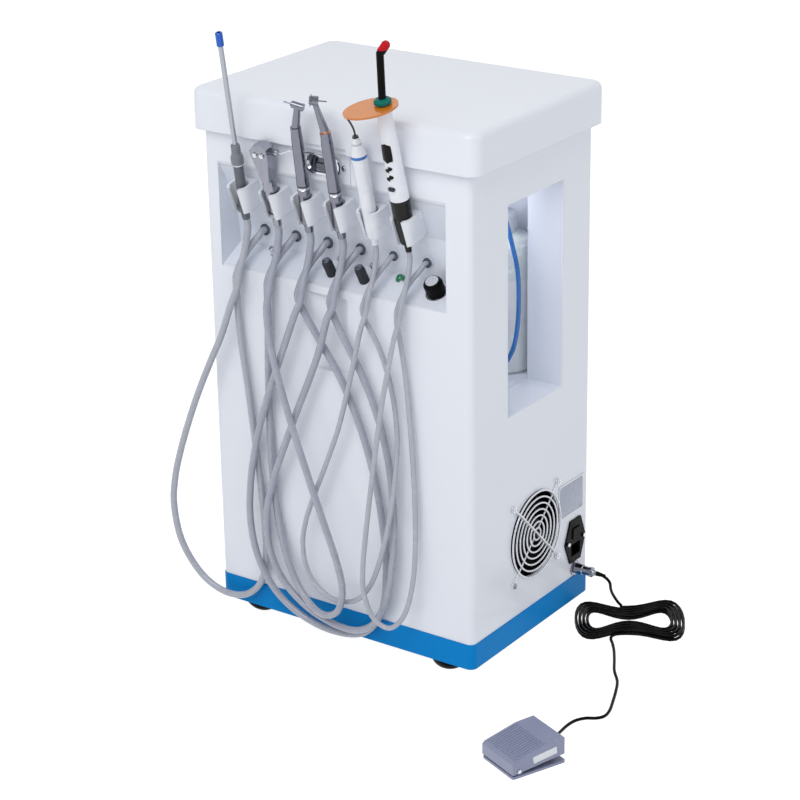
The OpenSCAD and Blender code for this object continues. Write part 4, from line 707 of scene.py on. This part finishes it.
# ---------- Looks of the CAD nodes ----------
LOOKS = {
    "base_tray": "blue_gloss", "cabinet_shell": "white_gloss", "rear_panel": "grey_coat",
    "cover_screws": "chrome_plate", "lid": "white_gloss", "lid_hinges": "steel_satin",
    "latch_bezel": "chrome_plate", "latch_turn": "dark_chrome", "instrument_panel": "white_panel",
    "instrument_holders": "white_moulded", "power_knob": "black_satin", "flow_knob_1": "dark_grip",
    "flow_knob_2": "dark_grip", "needle_valves": "chrome_plate", "pilot_lamp": "lamp_green",
    "bottle_bay": "white_panel", "bottles": "bottle_clear", "bottle_caps": "cap_pale",
    "fan_frame": "black_satin", "fan_rotor": "black_satin", "fan_guard": "guard_chrome",
    "rating_plate": "plate_satin", "power_inlet": "black_satin", "pedal_socket": "steel_satin",
    "compressor": "cast_grey", "air_tank": "grey_coat", "valve_block": "brass",
    "control_board": "board_green", "suction_handle": "suction_grip", "suction_tip": "suction_tube",
    "syringe_body": "steel_satin", "air_button": "chrome_plate", "water_button": "chrome_plate",
    "handpiece_1": "handpiece_a", "handpiece_2": "handpiece_b", "scaler": "scaler_white",
    "curing_light": "light_white", "light_button": "dark_grip", "light_guide": "guide_black",
    "light_shield": "shield_orange", "pedal_base": "pedal_paint", "pedal_treadle": "pedal_paint",
    "pedal_plug": "steel_satin"}
for corner in CORNERS:
    LOOKS["caster_fork_" + corner] = "fork_steel"
    LOOKS["caster_wheel_" + corner] = "wheel_" + corner
for node, look in LOOKS.items():
    finish(NODES[node], look)


# ---------- Trim that rides on the bodies ----------
def make_light_trim():
    """Display, level windows and sleeve lip of the curing light."""
    low_s, high_s, low_r, high_r = 38, 158, 12.2, 8.8

    def body_r(s):
        """The radius of the light's tapered body at height s."""
        return low_r - (low_r - high_r) * (s - low_s) / (high_s - low_s)

    def patch(name, low, high, half, slant=0.0):
        """A thin curved plate on the light's front, half wide in degrees. One that leans has round
        ends, the others square ones."""
        verts, faces = [], []
        rows, cols, outside, inside = 10, 12, 0.7, -0.4
        power = 2 if slant else 5
        place = seated(5)
        for layer in (outside, inside):
            for j in range(rows + 1):
                v = 2 * j / rows - 1
                for k in range(cols + 1):
                    u = 2 * k / cols - 1
                    corner = max(0.0, 1 - abs(v) ** power) ** (1 / power)
                    s = (low + high) / 2 + v * (high - low) / 2 + slant * u
                    a = math.radians(-90 + u * half * corner)
                    r = (body_r(s) + layer) * MM
                    verts.append(place @ Vector((r * math.cos(a), r * math.sin(a), s * MM)))
        size = (rows + 1) * (cols + 1)
        for j in range(rows):
            for k in range(cols):
                a = j * (cols + 1) + k
                faces.append((a, a + 1, a + cols + 2, a + cols + 1))
                faces.append((size + a, size + a + cols + 1, size + a + cols + 2, size + a + 1))
        rim = ([j * (cols + 1) for j in range(rows + 1)]
               + [rows * (cols + 1) + k for k in range(1, cols + 1)]
               + [j * (cols + 1) + cols for j in range(rows - 1, -1, -1)]
               + [k for k in range(cols - 1, 0, -1)])
        for a, b in zip(rim, rim[1:] + rim[:1]):
            faces.append((a, b, size + b, size + a))
        obj = new_object(name, verts, faces)
        bm = bmesh.new()
        bm.from_mesh(obj.data)
        bmesh.ops.remove_doubles(bm, verts=bm.verts, dist=1e-6)
        bmesh.ops.recalc_face_normals(bm, faces=bm.faces)
        bm.to_mesh(obj.data)
        bm.free()
        finish(obj, "glass_black", "light")

    patch("light_display", 92, 117, 40)
    key_half = 2.6
    for k, s in enumerate((83.5, 72.5)):
        patch("light_key_%d" % (k + 1), s - key_half, s + key_half, 26, 1.4)
    finish(ring("light_sleeve_lip", 11.9, 0.5, seated(5, 40)), "glass_black", "light")


make_light_trim()


def make_control_trim():
    """Caps of the knobs, a washer and the pilot lamp's bezel."""
    cap = lathe("power_knob_cap", [(0, 20.2), (8.2, 20.2), (8.2, 20.9), (7.6, 21.6), (3, 21.9),
                                   (0, 21.9)], POWER_KNOB)
    finish(cap, "knob_silver", "power_knob")
    for k, x in enumerate((HOLDER_X[2] + 21, HOLDER_X[3] + 21)):
        cap = lathe("flow_knob_cap_%d" % (k + 1), [(0, 24.2), (4.4, 24.2), (4.2, 24.9), (0, 25.1)],
                    on_floor(x, 0.5), 32)
        finish(cap, "steel_satin", "flow_knob_%d" % (k + 1))
    bezel = ring("lamp_bezel", 5.9, 0.8, on_floor(75.5, 0.82) @ at(0, 0, 0.6))
    finish(bezel, "chrome_plate", "cabinet")
    nut = ring("power_knob_washer", 13.2, 0.7, POWER_KNOB @ at(0, 0, 0.4))
    finish(nut, "steel_satin", "cabinet")


make_control_trim()


def make_guard_strut():
    """The fan guard's upper strut: it lies over the rings, with its ends down at two screws."""
    over, low, reach, shoulder, wire = 5.4, 1.6, 70, 60, 1.2
    half = [(shoulder / 2, over), (shoulder, over), (reach - 4, low + 1.9), (reach, low)]
    points = [(-t, lift) for t, lift in reversed(half)] + [(0, over)] + half
    slant = Vector((0, 1, -1)).normalized()
    fan = middle_of("fan_frame")
    path = [(Vector((SIDE_X + lift, fan.y, fan.z)) + t * slant) * MM for t, lift in points]
    strut = tube_mesh("guard_strut", smooth_route(path, 6), wire * MM, 14)
    finish(strut, "guard_chrome", "cabinet")


make_guard_strut()


def make_side_trim():
    """Border and rivets of the bare plate, screws of the inlet, and the bottle's bare label."""
    low, high = corners_of("rating_plate")
    plate, size = (low + high) / 2, high - low
    margin, rivet_in = 2.5, 3
    border = slab("plate_border", rect(size.y - 2 * margin, size.z - 2 * margin, 2), 0.25,
                  at(high.x, plate.y, plate.z) @ FACING_X, 0.1)
    finish(border, "plate_print", "cabinet")
    rivets = [(y, z) for y in (low.y + rivet_in, high.y - rivet_in)
              for z in (low.z + rivet_in, high.z - rivet_in)]
    for k, (y, z) in enumerate(rivets):
        rivet = lathe("plate_rivet_%d" % (k + 1), [(0, 0), (1.3, 0), (1.1, 0.6), (0.6, 0.9), (0, 1)],
                      at(high.x, y, z) @ ALONG_X, 20)
        finish(rivet, "chrome_plate", "cabinet")
    inlet, face = middle_of("power_inlet"), corners_of("power_inlet")[1].x
    for k, away in enumerate((-19, 19)):
        screw = lathe("inlet_screw_%d" % (k + 1), [(0, 0), (2.9, 0), (2.7, 0.9), (1.6, 1.5), (0, 1.6)],
                      at(face, inlet.y + away, inlet.z) @ ALONG_X, 24)
        finish(screw, "chrome_plate", "cabinet")
    label = lathe("bottle_label", [(42.15, 417), (42.35, 418), (42.35, 468), (42.15, 469)],
                  at(BOTTLE_X, BOTTLE_Y, 0), 72)
    finish(label, "label_white", "cabinet")


make_side_trim()


def make_pedal_trim():
    """The treadle's bare label, and a pin at each of its sides."""
    label = slab("pedal_label", rect(34, 9, 1), 0.3, pedal_place(32, 8, 19) @ FACING_X
                 @ Matrix.Rotation(math.radians(7), 4, "Z"), 0.1)
    finish(label, "label_white", "pedal_treadle")
    pin_x = 32.7
    for k, side in enumerate((-1, 1)):
        pin = lathe("pedal_pin_%d" % (k + 1), [(0, -0.4), (2.6, -0.4), (2.6, 0.5), (2, 1), (0, 1)],
                    pedal_place(side * pin_x, -29, 9) @ Matrix.Rotation(side * math.pi / 2, 4, "Y"), 24)
        finish(pin, "chrome_plate", "pedal_treadle")


make_pedal_trim()


# ---------- Floor, light and background ----------
def make_floor():
    """A white floor that takes the shadows. It glows a little where the camera or a mirror-like
    surface sees it."""
    half, glow_share = 6, 0.72
    floor = new_object("floor", [(-half, -half, 0), (half, -half, 0), (half, half, 0), (-half, half, 0)],
                       [(0, 1, 2, 3)])
    made = bpy.data.materials.new("floor")
    n = Surface(made)
    tint = n.ramp(n.noise(3, 2), "Fac", [(0.3, (0.93, 0.93, 0.935, 1)), (0.7, (0.95, 0.95, 0.955, 1))])
    n.join(tint, "Color", n.shader, "Base Color")
    n.shader.inputs["Roughness"].default_value = 0.9
    n.shader.inputs["Specular IOR Level"].default_value = 0.1
    glow = n.add("ShaderNodeEmission", {"Strength": 1.35})
    path = n.add("ShaderNodeLightPath")
    seen = n.add("ShaderNodeMath", operation="MAXIMUM")
    n.join(path, "Is Camera Ray", seen, 0)
    n.join(path, "Is Glossy Ray", seen, 1)
    part = n.add("ShaderNodeMath", {1: glow_share}, operation="MULTIPLY")
    n.join(seen, "Value", part, 0)
    blend = n.add("ShaderNodeMixShader")
    n.join(part, "Value", blend, "Fac")
    n.join(n.shader, "BSDF", blend, 1)
    n.join(glow, "Emission", blend, 2)
    n.join(blend, "Shader", n.out, "Surface")
    floor.data.materials.append(made)


def light_boxes(n):
    """What mirror-like surfaces see: white behind the object, and to its front light boxes with
    darker gaps between them."""
    boxes = n.add("ShaderNodeTexWave", {"Scale": 1.7, "Distortion": 1.5, "Detail": 1})
    apart = n.add("ShaderNodeSeparateXYZ")
    behind = n.add("ShaderNodeMath", {1: 3}, operation="MULTIPLY", use_clamp=True)
    either = n.add("ShaderNodeMath", operation="MAXIMUM")
    n.join(n.coords, "Generated", boxes, "Vector")
    n.join(n.coords, "Generated", apart, "Vector")
    n.join(apart, "Y", behind, 0)
    n.join(behind, 0, either, 0)
    n.join(boxes, "Fac", either, 1)
    grey = n.ramp(either, 0, [(0.35, (0.06, 0.06, 0.0612, 1)), (0.6, (1, 1, 1.02, 1))])
    studio = n.add("ShaderNodeBackground")
    n.join(grey, "Color", studio, "Color")
    return studio


def make_world():
    """White to the camera and through clear pieces, the light boxes to mirror-like surfaces, and a
    dim blue-white to everything else."""
    world = bpy.data.worlds.new("studio")
    scene.world = world
    n = Nodes(world)
    out = n.add("ShaderNodeOutputWorld")
    dim = n.add("ShaderNodeBackground", {"Color": (0.93, 0.96, 1, 1), "Strength": 0.56})
    white = n.add("ShaderNodeBackground", {"Color": (1, 1, 1, 1)})
    studio = light_boxes(n)
    light_path = n.add("ShaderNodeLightPath")
    seen = n.add("ShaderNodeMath", operation="MAXIMUM")
    mixed = n.add("ShaderNodeMixShader")
    glossy_mix = n.add("ShaderNodeMixShader")
    n.join(light_path, "Is Camera Ray", seen, 0)
    n.join(light_path, "Is Transmission Ray", seen, 1)
    n.join(seen, 0, mixed, "Fac")
    n.join(dim, 0, mixed, 1)
    n.join(white, 0, mixed, 2)
    n.join(light_path, "Is Glossy Ray", glossy_mix, "Fac")
    n.join(mixed, 0, glossy_mix, 1)
    n.join(studio, 0, glossy_mix, 2)
    n.join(glossy_mix, 0, out, "Surface")


def make_lamp(name, place, aim, size, power):
    """A square lamp of that size in metres and power in watts."""
    data = bpy.data.lights.new(name, "AREA")
    data.shape = "SQUARE"
    data.size = size
    data.energy = power
    lamp = bpy.data.objects.new(name, data)
    lamp.location = place
    lamp.rotation_euler = (Vector(aim) - Vector(place)).to_track_quat("-Z", "Y").to_euler()
    scene.collection.objects.link(lamp)


make_floor()
make_world()
make_lamp("key", (0.4, -1.8, 2.35), (0, 0, 0.4), 1.6, 25)
make_lamp("front", (-0.3, -2.6, 0.9), (0, 0, 0.5), 1.8, 2)
make_lamp("side", (2.4, 0.2, 1.2), (0, 0, 0.4), 1.4, 4)
make_lamp("bottle_bay", (0.08, 0.0, 0.6), (0.08, 0.05, 0.4), 0.09, 0.12)
scene.view_settings.view_transform = "Standard"
